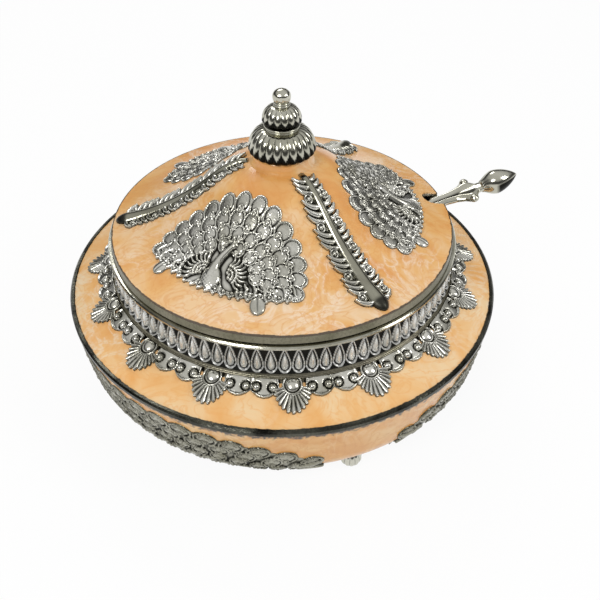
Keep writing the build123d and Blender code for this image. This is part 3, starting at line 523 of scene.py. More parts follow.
def metal_finish(name, bright, shade, dark, rough, speckle, grain, metallic=1.0):
    """Plated metal: two tones in worn patches, dark flecks, painted shade in the recesses, and a
    fine cast grain.
    """
    material = bpy.data.materials.new(name)
    f = Nodes(material)
    bright, shade, dark = ((*colour, 1.0) for colour in (bright, shade, dark))
    tone = f.steps(f.noise(55, 4, 0.6), (0.35, shade), (0.62, bright))
    recess = f.node("ShaderNodeAttribute", "Fac")
    recess.node.attribute_name = "recess"
    # Painted shade: the recess attribute darkens the colour towards the dark tone.
    recess_shade = f.levels(recess, (0.05, 0.0), (0.75, 1.0))
    flecks = f.levels(f.noise(900, 2), (0.50, 0.0), (0.62, speckle))
    worn = f.reckon("MULTIPLY_ADD", f.noise(180, 3), 0.14, rough)
    f.shade(Base_Color=f.blend(recess_shade, f.blend(flecks, tone, dark), dark), Metallic=metallic,
            Roughness=f.reckon("MULTIPLY_ADD", recess_shade, 0.25, worn),
            Normal=f.bump(f.noise(700, 3), grain))
    return material


lid_enamel = enamel_finish(
    "lid_enamel_finish", paint(218, 151, 78), paint(227, 175, 107), paint(231, 194, 147),
    paint(238, 217, 192), shift=(0.1, 0.4, 0.2), edge=0.0878)
# Painted light: the brim's enamel is a lighter copy, partly painted light, partly its own paler
# apricot tone.
brim_enamel = enamel_finish(
    "lit_brim_enamel_finish", paint(236, 172, 96), paint(240, 190, 126), paint(241, 208, 160),
    paint(242, 222, 192), shift=(0.6, 0.2, 0.8), edge=0.1129)
# Painted shade: the bowl's enamel is a darker copy, mostly painted shade, partly its own deeper
# orange tone.
bowl_enamel = enamel_finish(
    "shaded_bowl_enamel_finish", paint(206, 140, 64), paint(218, 160, 86), paint(224, 180, 116),
    paint(228, 198, 150), shift=(0.3, 0.9, 0.5), edge=0.1144)
relief_metal = metal_finish(
    "relief_metal", (0.72, 0.71, 0.65), (0.46, 0.45, 0.38), (0.018, 0.018, 0.014),
    rough=0.13, speckle=0.06, grain=0.00005)
smooth_metal = metal_finish(
    "smooth_metal", (0.58, 0.57, 0.49), (0.40, 0.39, 0.31), (0.012, 0.012, 0.010),
    rough=0.08, speckle=0.0, grain=0.00003)
# Painted light: a lighter, less metallic copy of the plated metal for the teardrops.
lit_drop_metal = metal_finish(
    "lit_drop_metal", (0.80, 0.80, 0.77), (0.62, 0.62, 0.58), (0.010, 0.010, 0.008),
    rough=0.20, speckle=0.0, grain=0.00003, metallic=0.7)
# Painted shade: a darker copy of the plated metal for the bowl's panels.
shaded_panel_metal = metal_finish(
    "shaded_panel_metal", (0.40, 0.39, 0.32), (0.24, 0.23, 0.17), (0.012, 0.012, 0.009),
    rough=0.16, speckle=0.2, grain=0.00005)
# Painted shade: a darker copy of the plated metal for the ribs' spines.
shaded_spine_metal = metal_finish(
    "shaded_spine_metal", (0.42, 0.41, 0.33), (0.28, 0.27, 0.21), (0.008, 0.008, 0.007),
    rough=0.08, speckle=0.0, grain=0.00003)
# Painted shade: a darker copy of the plated metal for the lid's band and the flange.
shaded_band_metal = metal_finish(
    "shaded_band_metal", (0.26, 0.24, 0.18), (0.17, 0.16, 0.11), (0.015, 0.014, 0.010),
    rough=0.20, speckle=0.2, grain=0.00005)
# Painted shade: a near-black copy of the plated metal for the rim ring.
shaded_rim_metal = metal_finish(
    "shaded_rim_metal", (0.10, 0.10, 0.08), (0.012, 0.012, 0.010), (0.006, 0.006, 0.005),
    rough=0.20, speckle=0.3, grain=0.00010)
shell_metal = metal_finish(
    "shell_metal", (0.72, 0.70, 0.65), (0.60, 0.58, 0.52), (0.04, 0.04, 0.03),
    rough=0.22, speckle=0.1, grain=0.00008)
fastener_metal = metal_finish(
    "fastener_metal", (0.50, 0.50, 0.50), (0.40, 0.40, 0.40), (0.05, 0.05, 0.05),
    rough=0.30, speckle=0.1, grain=0.00008)

node_finishes = (
    (lid_enamel, ["lid_enamel"]), (brim_enamel, ["brim_enamel"]), (bowl_enamel, ["bowl_enamel"]),
    (shell_metal, ["bowl_shell", "lid_shell", "brim_plate"]), (shaded_rim_metal, ["rim_ring"]),
    (smooth_metal, ["collar", "spoon_bowl"]), (shaded_band_metal, ["lid_band"]),
    (fastener_metal, ["foot_screws", "finial_stud", "finial_washer", "finial_nut"]))
for finish, node_names in node_finishes:
    for node_name in node_names:
        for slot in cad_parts[node_name].material_slots:
            slot.link = "OBJECT"
            slot.material = finish


# Peacock panels on the lid: the tail's oval, and each row's count, depth in it and eye size

tail_middle = 60.0
tail_halves = (32.5, 40.0)
tail_rows = ((16, 4.2, (5.0, 4.1)), (14, 11.0, (4.7, 3.9)), (11, 17.2, (4.2, 3.6)),
             (8, 22.6, (3.5, 3.1)))


def feather_eye(level, length):
    """Height of a feather's eye: a broad scale that rises outwards, with its outer end combed.

    A rolled edge runs outside a groove, both at a share of the eye's oval.
    """
    def profile(along, aside, distance):
        scale = 0.40 * (1 - distance ** 2) + 0.22 * along / length
        edge = 0.42 * dome((distance - 0.92) / 0.09)
        groove = 0.34 * np.exp(-((distance - 0.77) / 0.07) ** 2)
        combed = (distance > 0.35) & (distance < 0.9) & (along > 0)
        return (level + scale + edge - groove
                + 0.16 * np.cos(26 * np.arctan2(aside, along)) * combed)
    return profile


def ball_in_ring(level, ball, ball_share, ring, ring_share):
    """Height of a ball in a ring with a groove between, each over its share of the oval."""
    return lambda along, aside, distance: level + np.maximum(
        ball * dome(distance / ball_share), ring * dome((distance - 1 + ring_share) / ring_share))


def ringed_drop(level):
    """Height of the small drop at a feather's root."""
    return ball_in_ring(level, ball=0.75, ball_share=0.55, ring=0.60, ring_share=0.14)


def hem(across):
    """How far out the tail goes at its foot: a shallow parabola."""
    return 71.5 - 0.0082 * across ** 2


def tail_spots(lower, margin):
    """Each feather's row, halves, place and way out, moved in by a share of its length.

    A row lies on an oval inside the tail's, and what passes the hem by more than margin is cut.
    """
    for level, (count, inset, halves) in enumerate(tail_rows):
        spread = math.radians(98 - 4 * level)
        along, across = np.array(tail_halves) - (inset + lower * halves[0])
        for bearing in np.linspace(-spread, spread, count):
            cos, sin = math.cos(bearing), math.sin(bearing)
            place = (tail_middle - along * cos, across * sin)
            if place[0] < hem(place[1]) + margin:
                yield level, halves, place, math.atan2(sin * along, -cos * across)


def wing(relief, root, bearings, inner, outer):
    """A spread wing: three arcs of beads round its root and a comb of curved quills beyond."""
    for radius, count in ((0.30 * inner, 3), (0.66 * inner, 6), (1.05 * inner, 9)):
        for bearing in np.linspace(bearings[0], bearings[-1], count):
            way = np.array((math.cos(bearing), math.sin(bearing)))
            relief.bead(root + radius * way, 0.82, height=2.1, floor=0.9)
    for bearing in bearings:
        way = np.array((math.cos(bearing), math.sin(bearing)))
        aside = np.array((-way[1], way[0])) * (1.5 if root[1] < 0 else -1.5)
        quill = bend(root + way * (inner + 0.9), root + way * (inner + outer) / 2 + aside,
                     root + way * outer + aside * 0.3)
        relief.stroke(quill, (0.42, 0.60, 0.36), height=2.0, floor=0.8)


def hem_curls(relief):
    """Along the hem, on both sides of the bird: a scroll, a ringed ball and a sprig in turn."""
    for side in (-1, 1):
        for curl in range(9):
            middle = side * (1.5 + 4.1 * curl)
            base = hem(middle)
            scroll = bend((base - 4.2, middle - side * 2.0), (base - 0.8, middle - side * 2.4),
                          (base + 0.8, middle + side * 0.6))
            sprig = bend((base - 7.0, middle - side * 1.0), (base - 5.4, middle + side * 1.8),
                         (base - 3.2, middle + side * 2.6))
            relief.stroke(scroll, (0.6, 1.0, 0.8), height=1.7, floor=0.6)
            relief.oval((base - 1.4, middle + side * 0.6), (1.75, 1.75), 0,
                        ball_in_ring(0.7, ball=1.1, ball_share=0.5, ring=0.6, ring_share=0.18))
            relief.stroke(sprig, (0.45, 0.85, 0.45), height=1.6, floor=0.7)


def bird(relief):
    """Two wings on flat ground, a scaly body between them, and neck, head, beak and crest."""
    for place, halves in (((63.6, -12.4), (6.9, 6.4)), ((62.4, 7.8), (7.0, 6.0))):
        relief.oval(place, halves, 0, lambda p, q, d: np.full(d.shape, 0.6))
    wing(relief, np.array((64.0, -8.2)), np.radians(np.linspace(176, 300, 9)),
         inner=4.3, outer=9.4)
    wing(relief, np.array((62.8, 3.8)), np.radians(np.linspace(182, 66, 9)),
         inner=4.6, outer=9.2)
    relief.oval((66.0, -2.6), (6.0, 4.4), 0.25, lambda p, q, d:
                1.3 + 1.5 * dome(d) + 0.10 * np.cos(3.4 * p) * np.cos(3.4 * q) * (d < 0.9))
    neck = bend((64.5, -3.4), (57.0, -4.2), (50.2, 0.4))
    relief.stroke(neck, (2.5, 1.7, 1.35), height=3.0, floor=1.4)
    relief.bead((49.2, 0.9), 1.9, height=3.0, floor=1.4)
    beak = bend((48.6, -0.4), (47.9, -3.6), (50.4, -5.2))
    relief.stroke(beak, (0.75, 0.5, 0.3), height=2.3, floor=1.2)
    for tuft in (-1, 0, 1):
        crest = [(48.0, 1.4), (45.2, 2.4 + 1.3 * tuft)]
        relief.stroke(crest, (0.3, 0.55), height=2.2, floor=1.1)


def peacock_relief():
    """A displayed tail in rows of feather eyes that lie on each other like scales, and the bird."""
    relief = Relief((24.0, 79.0), (-43.0, 43.0), step=0.28)
    x, y = relief.x[:, None], relief.y[None, :]
    inside = (np.hypot((x - tail_middle) / 30.5, y / 38) < 1) & (x < hem(y))
    relief.height[inside] = 0.6
    for level, halves, place, turn in tail_spots(0, 1.5):
        relief.oval(place, halves, turn, feather_eye(0.5 + 0.28 * level, halves[0]))
    for level, halves, place, turn in tail_spots(0.62, -1):
        relief.oval(place, (0.42 * halves[0], 0.38 * halves[1]), turn,
                    ringed_drop(1.05 + 0.26 * level))
    hem_curls(relief)
    for place, halves, turn in (((70.2, 23.9), (4.4, 3.6), 0.5), ((67.5, -30.0), (3.6, 3.2), -0.5)):
        relief.oval(place, halves, turn, lambda p, q, d:
                    0.6 + 1.0 * dome(d) - 0.35 * np.exp(-(q / 0.4) ** 2) * (d < 0.85))
    bird(relief)
    return relief


peacock = peacock_relief()
for number, azimuth in enumerate(peacock_azimuths, start=1):
    make_piece(f"peacock_relief_{number}", peacock.shell(placed_at(lid_place, azimuth)), "lid",
               relief_metal, [f"lid_peacock_{number}"])


# Ribs on the lid: a plain spine with leaves along both sides

def rib_half(out):
    """Half width of the spine, which widens outwards from the crown."""
    return 1.7 + 2.1 * np.clip((out - 17) / 68, 0, 1)


def rib_relief():
    """Fingers that lean to the crown on one side, short ones on the other, and rosettes."""
    relief = Relief((17.5, 86.0), (-12.5, 11.5), step=0.28)
    x, y = relief.x[:, None], relief.y[None, :]
    relief.height[(x > 19) & (x < 82) & (np.abs(y) < rib_half(x) + 1.7)] = 0.4
    for finger in range(21):
        root = 21.0 + 2.95 * finger
        edge = float(rib_half(root))
        grown = 0.70 + 0.30 * min(1, finger / 6)
        if finger % 4 == 3:
            for side in (-1, 1):
                relief.oval((root - 0.6, side * (edge + 2.6 * grown)), (2.15, 2.15), 0,
                            ball_in_ring(0.5, ball=1.4, ball_share=0.5, ring=0.8, ring_share=0.2))
            continue
        long_finger = bend((root + 0.6, -edge + 0.4), (root + 0.6, -edge - 3.6 * grown),
                           (root - 4.0, -edge - 6.0 * grown))
        short_finger = bend((root + 0.4, edge - 0.4), (root + 0.9, edge + 2.8 * grown),
                            (root - 1.8, edge + 4.6 * grown))
        relief.stroke(long_finger, (1.0, 1.3, 1.1, 0.5), height=2.0, floor=0.3)
        relief.stroke(short_finger, (1.0, 1.25, 0.7), height=1.8, floor=0.3)
    return relief


def spine_surface(azimuth):
    """A spine of three facets with rolled edges that follows the lid and ends in a round nose.

    Its half width swells before the nose and closes over it as a quarter of an oval does.
    """
    crown, nose, nose_run = 16.6, 80.0, 6.6
    out = np.concatenate([np.linspace(crown, nose, 60),
                          nose + nose_run * np.sin(np.linspace(0.06, 1.52, 16))])
    past = np.clip(out - nose, 0, None) / nose_run
    swell = 1 + 0.16 * np.sin(np.clip((out - 72) / 14, 0, 1) * math.pi)
    half = rib_half(out) * np.sqrt(1 - past ** 2) * swell
    tall = np.interp(out, (crown, 20, 70, nose), (0.9, 2.1, 2.6, 3.1))
    tall *= np.sqrt(1 - 0.94 * past ** 2)
    across = np.array((0, 0.2, 0.34, 0.62, 0.9, 0.985, 1))
    rise = np.array((1.04, 1.0, 0.97, 0.78, 0.52, 0.30, 0))
    across, rise = np.append(-across[:0:-1], across), np.append(rise[:0:-1], rise)
    side = half[:, None] * across[None, :]
    along = np.broadcast_to(out[:, None], side.shape)
    points, normal = lid_place(along, side)
    top = points + normal * (tall[:, None] * rise[None, :] + 0.02)[..., None]
    under, way = lid_place(along[:, ::-1], side[:, ::-1] * 0.96)
    ring = np.concatenate([top, under - way * 0.5], axis=1)
    # Painted shade on the round nose, up to 0.68.
    recess = np.clip((out - 79.5) / 2.5, 0, 0.68)[:, None] * np.ones((1, ring.shape[1]))
    return closed_pod(round_axis(ring, azimuth), recess)


rib = rib_relief()
for number, azimuth in enumerate(rib_azimuths, start=1):
    make_piece(f"rib_leaves_{number}", rib.shell(placed_at(lid_place, azimuth)), "lid",
               relief_metal, [f"lid_rib_{number}"])
    make_piece(f"rib_spine_{number}", spine_surface(azimuth), "lid", shaded_spine_metal,
               [f"lid_rib_{number}"])


# Panels round the bowl

panel_half = 105.0
panel_fall = 22.0
panel_rows = ((12.6, 5.4, (4.9, 6.2)), (12.6, 11.6, (4.4, 5.4)), (9.6, 17.6, (3.7, 4.4)),
              (8.4, 22.9, (3.1, 3.7)))


def panel_top(across):
    """How far down the bowl a panel begins: it falls with the cube of the way aside."""
    return 5.5 + panel_fall * (np.abs(across) / panel_half) ** 3


def panel_eyes(relief):
    """Rows of lens-shaped feather eyes along the panel's top, those between in every other row."""
    for row, (pitch, drop, halves) in enumerate(panel_rows):
        for across in np.arange(-94.5 + (pitch / 2 if row % 2 else 0.0), 95, pitch):
            tilt = math.atan(3 * panel_fall * across * abs(across) / panel_half ** 3)
            down = panel_top(across) + drop
            relief.oval((down, across), halves, math.pi + tilt * 0.8,
                        feather_eye(0.40 + 0.12 * row, halves[0]))
            if row < 3:
                relief.oval((down + 0.4 * halves[0], across), (0.28 * halves[0], 0.30 * halves[1]),
                            0, ringed_drop(0.7 + 0.12 * row))


def bowl_panel_relief():
    """Feather eyes under a falling edge, rosettes and plumes below them, and leaves at both ends.

    The whole is lower towards the rim, by a share that grows with the way down.
    """
    relief = Relief((4.0, 61.0), (-108.0, 108.0), step=0.46)
    x, y = relief.x[:, None], relief.y[None, :]
    relief.height[(x > panel_top(y) + 3) & (x < 58) & (np.abs(y) < 98)] = 0.30
    panel_eyes(relief)
    for across in np.arange(-88, 89, 8.4):
        down = panel_top(across) + 28
        for bearing in 0.3 + 2 * math.pi * np.arange(5) / 5:
            relief.bead((down + 1.9 * math.cos(bearing), across + 2.1 * math.sin(bearing)),
                        1.15, height=1.5)
        relief.bead((down, across), 1.2, height=1.7)
    for across in np.arange(-92, 93, 5.1):
        down = panel_top(across) + 31.5
        plume = bend((down, across), (down + 6, across + 0.03 * across), (57, across * 0.9))
        relief.stroke(plume, (0.6, 1.5, 0.7), height=1.3, floor=0.3)
    for side in (-1, 1):
        for row in range(5):
            down, across = 26.0 + 6.4 * row, side * (92 + 0.5 * row)
            leaf = bend((down + 3, across - side * 4), (down + 3, across + side * 3),
                        (down - 1.0, across + side * 8.0))
            relief.stroke(leaf, (0.9, 2.2, 0.6), height=1.5, floor=0.3)
    relief.height *= np.clip((0.35 + 0.13 * x) / 1.75, 0, 1)
    return relief


bowl_panel = bowl_panel_relief()
for number, azimuth in enumerate(bowl_panel_azimuths, start=1):
    make_piece(f"bowl_panel_relief_{number}", bowl_panel.shell(placed_at(bowl_place, azimuth)),
               "base", shaded_panel_metal, [f"bowl_panel_{number}"])


# Gallery of teardrops round the collar

def drop_share(across, above):
    """How far out a point lies in a drop: 1 on its outline, a half circle below a bellied point."""
    height = strip_z[1] - drop_centre_z
    across = np.abs(across)
    rise = np.clip(above / height, 0, 1.2)
    half = drop_r * (1 - rise ** 1.75)
    slope = 1.75 * drop_r / height * rise ** 0.75
    upper = 1 - (half - across) / np.sqrt(1 + slope ** 2) / drop_r
    return np.where(above > 0, upper, np.hypot(across, above) / drop_r)


def gallery_surface():
    """The strip round the collar, flared at its foot, with a ringed teardrop in each bay."""
    columns = drop_count * max(8, round(18 / coarse))
    angle = ring_angles(columns)
    z = np.linspace(strip_z[1], strip_z[0], round(48 / coarse))[:, None]
    bay = 2 * math.pi / drop_count
    across = ((angle + bay / 2) % bay - bay / 2) * strip_r
    share = drop_share(across[None, :], z - drop_centre_z)
    outline = 1.5 * dome((share - 0.90) / 0.115)
    heart = 2.1 * dome(share / 0.60)
    height = np.maximum(np.maximum(outline, heart), np.where(share < 0.9, 0.25, 0.0))
    # Painted shade: the low ground between the drops and the groove round each heart are darkened.
    recess = np.clip(1.25 - height / 0.75, 0, 1)
    radius = strip_r + strip_flare[1] * np.clip(strip_flare[0] - z, 0, None) + height
    outer = swung(np.stack([radius, np.broadcast_to(z, radius.shape)], axis=-1), angle)
    inner = turned([(strip_inner_r, strip_z[0]), (strip_inner_r, strip_z[1])], columns)
    return closed_band(np.concatenate([outer, inner]),
                       np.concatenate([recess, np.zeros((2, columns))]))


make_piece("teardrop_relief", gallery_surface(), "base", lit_drop_metal, ["teardrop_gallery"])


# Fans and swags on the brim

def fan_relief():
    """A half-round boss in a collar at the flange, with thirteen ridged rays with round tips."""
    relief = Relief((91.3, 108.0), (-9.6, 9.6), step=0.26)
    centre = (94.1, 0.0)
    x, y = relief.x[:, None] - centre[0], relief.y[None, :]
    spread = math.radians(82)
    bearing, distance = np.arctan2(y, x), np.hypot(x, y)
    tooth = np.abs((bearing * 6.5 / spread + 0.5) % 1 * 2 - 1)
    reach = 1 / np.hypot(np.cos(bearing) / 12.8, np.sin(bearing) / 8.8)
    inside = ((distance > 3.6) & (distance < reach * (1 - 0.13 * tooth ** 2))
              & (np.abs(bearing) < spread))
    ridge = 0.22 + (0.75 + 0.65 * distance / reach) * dome(tooth)
    relief.height[inside] = ridge[inside]
    relief.oval(centre, (4.7, 4.7), 0, lambda p, q, d: 0.15 + 1.35 * dome((d - 0.88) / 0.12))
    relief.oval(centre, (3.5, 3.5), 0, lambda p, q, d: 0.15 + 2.25 * dome(d))
    return relief


def swag_relief():
    """A plain crescent plate with a raised rim, and a ball in a curl, darkened by painted shade, at
    each of its horns.
    """
    relief = Relief((91.3, 100.6), (-6.7, 6.7), step=0.31)
    x, y = relief.x[:, None], relief.y[None, :]
    relief.height[(x < 95.4) & (np.abs(y) < 6.5)] = 0.25
    relief.oval((93.6, 0.0), (6.4, 6.4), 0, lambda p, q, d: np.maximum(
        0.85 + 0.3 * dome(d / 0.8), 0.3 + 1.2 * dome((d - 0.92) / 0.09)))
    for side in (-1, 1):
        relief.oval((95.3, side * 3.7), (2.75, 2.75), 0, lambda p, q, d: np.where(
            d < 0.66, 0.2 + 2.1 * dome(d / 0.66), 0.08 + 0.95 * dome((d - 0.95) / 0.07)))
    return relief


def round_brim(relief, azimuths):
    """The same relief at several azimuths on the brim, as one surface."""
    points, quads, recess = relief.shell(brim_place)
    return joined([(round_axis(points, azimuth), quads, recess) for azimuth in azimuths])


fan_azimuths = fan_start + np.arange(fan_count) * 2 * math.pi / fan_count
swag_azimuths = np.concatenate([fan_azimuths - fan_turn, fan_azimuths + fan_turn])
make_piece("fan_relief", round_brim(fan_relief(), fan_azimuths), "base", relief_metal,
           ["brim_fans"])
make_piece("swag_relief", round_brim(swag_relief(), swag_azimuths), "base", relief_metal,
           ["brim_crescents"])

flange_profile = np.concatenate([
    [(87.06, 69.3), (87.06, 63.02), (91.5, 63.02), (91.55, 64.2)],
    arc(90.95, 64.85, 0.62, -60, 120, 7), [(90.45, 65.9), (89.9, 66.75), (88.5, 69.2)]])
make_piece("flange_moulding", closed_band(turned(flange_profile, 360)), "base", shaded_band_metal,
           ["collar_flange"])


# Finial

def lobed(lobes, depth, share, twist=0.0):
    """Factor of a fluted piece's radius: round-backed lobes with sharp valleys.

    The lobes fade at the foot and where a share of the profile is reached.
    """
    def factor(angle, along):
        place = sawtooth(angle + twist * along, lobes)
        fade = np.clip(np.sin(np.pi * np.clip(along / share, 0, 1)) * 1.6, 0, 1)
        return 1 - depth * fade * (1 - np.sqrt(np.clip(1 - 0.93 * place ** 2, 0, 1)))
    return factor


def bored_piece(radius, height, lobes, depth, dark_to):
    """A turned and fluted piece round the stud, up its side and down its bore.

    Painted shade darkens its valleys, and its underside up to a share of its height.
    """
    columns = 288
    outer = list(zip(radius, height))
    profile = np.array(outer + [(stud_bore, height[-1]), (stud_bore, height[0])])
    factor = lobed(lobes, depth, (len(outer) - 1) / (len(outer) + 1))
    angle = ring_angles(columns)
    along = np.linspace(0, 1, len(profile))[:, None]
    # Painted shade in the valleys between the lobes.
    recess = (1 - factor(angle, along)) / depth - 0.35
    level = (profile[:, 1:] - height[0]) / (height[-1] - height[0])
    # Painted shade on the underside, up to dark_to of the height, with a jagged top by the lobes.
    underside_shade = 0.95 * np.clip((dark_to + 0.20 * sawtooth(angle, lobes) - level) / 0.05, 0, 1)
    return closed_band(turned(profile, columns, factor), np.maximum(recess, underside_shade))


def bell(low, belly_z, high, foot, widest, neck):
    """Radius and height of a bell: a foot, a flat underside, and a round back up to the neck."""
    turn = np.linspace(-math.pi / 2, 0, 6)
    back = np.linspace(0, math.pi / 2, 15)[1:]
    edge = 0.35 * (belly_z - low)
    radius = np.concatenate([(foot, foot), widest - edge + edge * np.cos(turn),
                             neck + (widest - neck) * np.cos(back) ** 0.92])
    height = np.concatenate([(low, belly_z - edge * 1.5), belly_z + edge * np.sin(turn),
                             belly_z + (high - belly_z) * np.sin(back) ** 1.08])
    return radius, height


def bead_stack(beads, foot, top, columns):
    """Half-round beads on each other round the stud, each with its radius, reach and middle."""
    rounds = [arc(reach - half, middle, half, -80, 80, 9) for half, reach, middle in beads]
    return closed_band(turned(
        np.concatenate([*rounds, [(stud_bore, top), (stud_bore, foot)]]), columns))


def tip_surface(foot, widest, low, high, belly=0.45, point=0.08):
    """The finial's tip: two quarter ovals that meet at its belly, a share up, the upper pointed."""
    under, over = np.linspace(-math.pi / 2, 0, 12), np.linspace(0, math.pi / 2, 12)[1:]
    radius = np.concatenate([foot + (widest - foot) * np.cos(under), widest * np.cos(over)])
    radius[-1] = point
    share = np.concatenate([belly * (1 + np.sin(under)), belly + (1 - belly) * np.sin(over)])
    profile = np.stack([radius, low + (high - low) * share], axis=-1)
    return closed_pod(turned(profile, 96, lobed(8, 0.04, 1.0, twist=1.6)))


def crown_ring():
    """The finial's seat: a low disc with a row of petals and a row of beads near its edge."""
    columns, edge, foot, top = 288, 10.6, 123.2, 124.35
    angle = ring_angles(columns)
    radius = np.linspace(6.5, edge, 26)[:, None]
    beads = 0.7 * dome(np.hypot((radius - 9.7) / 0.85, sawtooth(angle, 36) * 1.05))
    petals = 0.5 * dome(sawtooth(angle, 24)) * (np.abs(radius - 8.0) < 0.8)
    height = np.maximum(beads, petals)
    ring = swung(np.stack([np.broadcast_to(radius, height.shape), top + height], axis=-1), angle)
    under = turned([(edge, foot), (stud_bore, foot), (stud_bore, top)], columns)
    # Painted shade between the petals and the beads.
    recess = np.clip(0.9 - height * 2, 0, 1)
    return closed_band(np.concatenate([ring, under]),
                       np.concatenate([recess, np.zeros((3, columns))]))


lower_bell = bell(low=125.62, belly_z=131.2, high=141.2, foot=9.0, widest=16.6, neck=7.8)
upper_bell = bell(low=143.4, belly_z=145.7, high=152.5, foot=7.2, widest=9.6, neck=3.5)
for name, surface, node in (
        ("lower_bulb", bored_piece(*lower_bell, lobes=24, depth=0.09, dark_to=0.43),
         "finial_lower_bulb"),
        ("upper_bulb", bored_piece(*upper_bell, lobes=16, depth=0.09, dark_to=0.34),
         "finial_upper_bulb"),
        ("finial_ring_stack", bead_stack(
            [(0.58, 8.2, 141.5), (0.30, 7.8, 142.2), (0.55, 8.75, 142.85)],
            foot=140.9, top=143.4, columns=144), "finial_rings"),
        ("finial_neck_beads", bead_stack([(0.55, 4.05, 153.0), (0.45, 3.8, 153.95)],
                                         foot=152.4, top=154.4, columns=96),
         "finial_neck_ring"),
        ("finial_bud", tip_surface(foot=3.3, widest=4.4, low=154.36, high=160.56),
         "finial_tip")):
    make_piece(name, surface, "lid", smooth_metal, [node])

make_piece("finial_seat", crown_ring(), "lid", relief_metal, ["finial_base"])
crown_profile = [(9.4, 123.3), (16.2, 123.3), (16.2, 123.9), (15.5, 124.6), (15.0, 125.8),
                 (14.7, 127.4), (14.6, 129.0), (9.4, 129.0)]
make_piece("enamelled_crown", closed_band(turned(crown_profile, 288)), "lid", lid_enamel, [])


# Feet

def foot_surface(azimuth):
    """A fluted ball on a small pad, with a neck that meets the sloping underside of the bowl.

    The neck's points rise with their way out from the foot's middle, as the underside does.
    """
    columns, neck_r, neck_from, neck_top, flute = 120, 3.3, 11.0, 14.6, 0.13
    bearing = np.linspace(-math.asin(foot_centre_z / foot_ball), math.radians(58), 22)
    radius = foot_ball * np.cos(bearing)
    height = foot_centre_z + foot_ball * np.sin(bearing)
    neck_z = np.linspace(height[-1] + 0.3, neck_top, 6)
    profile = np.stack([np.append(radius, np.full(6, neck_r)), np.append(height, neck_z)], axis=-1)
    factor = lobed(12, flute, 0.8)
    points = turned(profile, columns, factor)
    climb = np.clip((points[..., 2] - neck_from) / (neck_top - neck_from), 0, 1)
    points[..., 2] += climb * points[..., 0] * hip_to_base[1] / hip_to_base[0]
    points[..., 0] += foot_r
    along = np.linspace(0, 1, len(profile))[:, None]
    # Painted shade in the valleys of the flutes.
    recess = (1 - factor(ring_angles(columns), along)) / flute - 0.3
    return closed_pod(round_axis(points, azimuth), recess)


for number, azimuth in enumerate(foot_azimuths, start=1):
    make_piece(f"fluted_foot_{number}", foot_surface(azimuth), "base", smooth_metal,
               [f"foot_{number}"])


# Spoon's handle, in the upright plane through its shaft: out from the axis and up. A pair of
# shaft_widths is a way out and the shaft's half width there.

shaft_widths = ((12, 3), (65.5, 3), (85.5, 4), (90.8, 4), (96, 4.9), (100, 6.6), (102.2, 8.6),
                (104.2, 9.2), (106.5, 6.6), (108.6, 3.5), (112, 3.2))
shaft_bend_r = 30.0
shoulder_run = 19.6
bud_run = 26.6
bud_length = 20.4
way_in = np.array((66.70, 58.335)) / math.hypot(66.70, 58.335)
way_out = np.array((math.cos(spoon_slope), math.sin(spoon_slope)))
way_up = np.array((-way_out[1], way_out[0]))
bowl_end = np.array((12.09, 25.83))
exit_point = np.array((85.5, 86.165))
bend_point = exit_point - way_out * 7.0
bud_start = exit_point + way_out * bud_run


def shaft_stations():
    """Points of the shaft's middle line and the way square to it: a run, an arc, a run."""
    turn = math.acos(way_in @ way_out)
    first = bend_point - way_in * shaft_bend_r * math.tan(turn / 2)
    square = np.array((way_in[1], -way_in[0]))
    angle = np.linspace(0, turn, 10)[:, None]
    arc_run = first + shaft_bend_r * (np.sin(angle) * way_in + (1 - np.cos(angle)) * square)
    run_in = bowl_end + np.linspace(0, 1, 24)[:-1, None] * (first - bowl_end)
    run_out = arc_run[-1] + np.linspace(0, 1, 70)[1:, None] * (bud_start + way_out * 1.5
                                                               - arc_run[-1])
    middle = np.concatenate([run_in, arc_run, run_out])
    along = np.gradient(middle, axis=0)
    along /= np.linalg.norm(along, axis=1, keepdims=True)
    return middle, np.stack([-along[:, 1], along[:, 0]], axis=-1)


def shaft_surface():
    """A flat shaft that widens to a shoulder, its section a slab with rounded sides.

    Outside the lid two ridges run along its top with a channel between, each a bell curve across
    it, and all three fade past the shoulder.
    """
    middle, square = shaft_stations()
    out = middle[:, 0]
    half = np.interp(out, *zip(*shaft_widths))
    open_part = np.clip((out - 82) / 3, 0, 1)[:, None]
    fade = np.clip((108.5 - out) / 4, 0, 1)[:, None]
    angle = ring_angles(64)
    across = np.sign(np.cos(angle)) * np.abs(np.cos(angle)) ** 0.75
    lift = np.sign(np.sin(angle)) * np.abs(np.sin(angle)) ** 0.6 * 1.5
    ridge = np.exp(-((np.abs(across) - 0.58) / 0.24) ** 2) * (np.sin(angle) > 0)
    channel = np.exp(-((across + 0.05) / 0.17) ** 2) * (np.sin(angle) > 0)
    deep = np.clip((101 - out) / 3, 0.25, 1)[:, None]
    rise = lift + open_part * fade * (0.9 * ridge - 1.0 * channel * deep)
    section = middle[:, None, :] + square[:, None, :] * rise[..., None]
    side = half[:, None] * across[None, :]
    # Painted shade in the channel between the ridges.
    recess = open_part * fade * channel[None, :] * deep
    return closed_pod(spoon_place(section, side), recess)


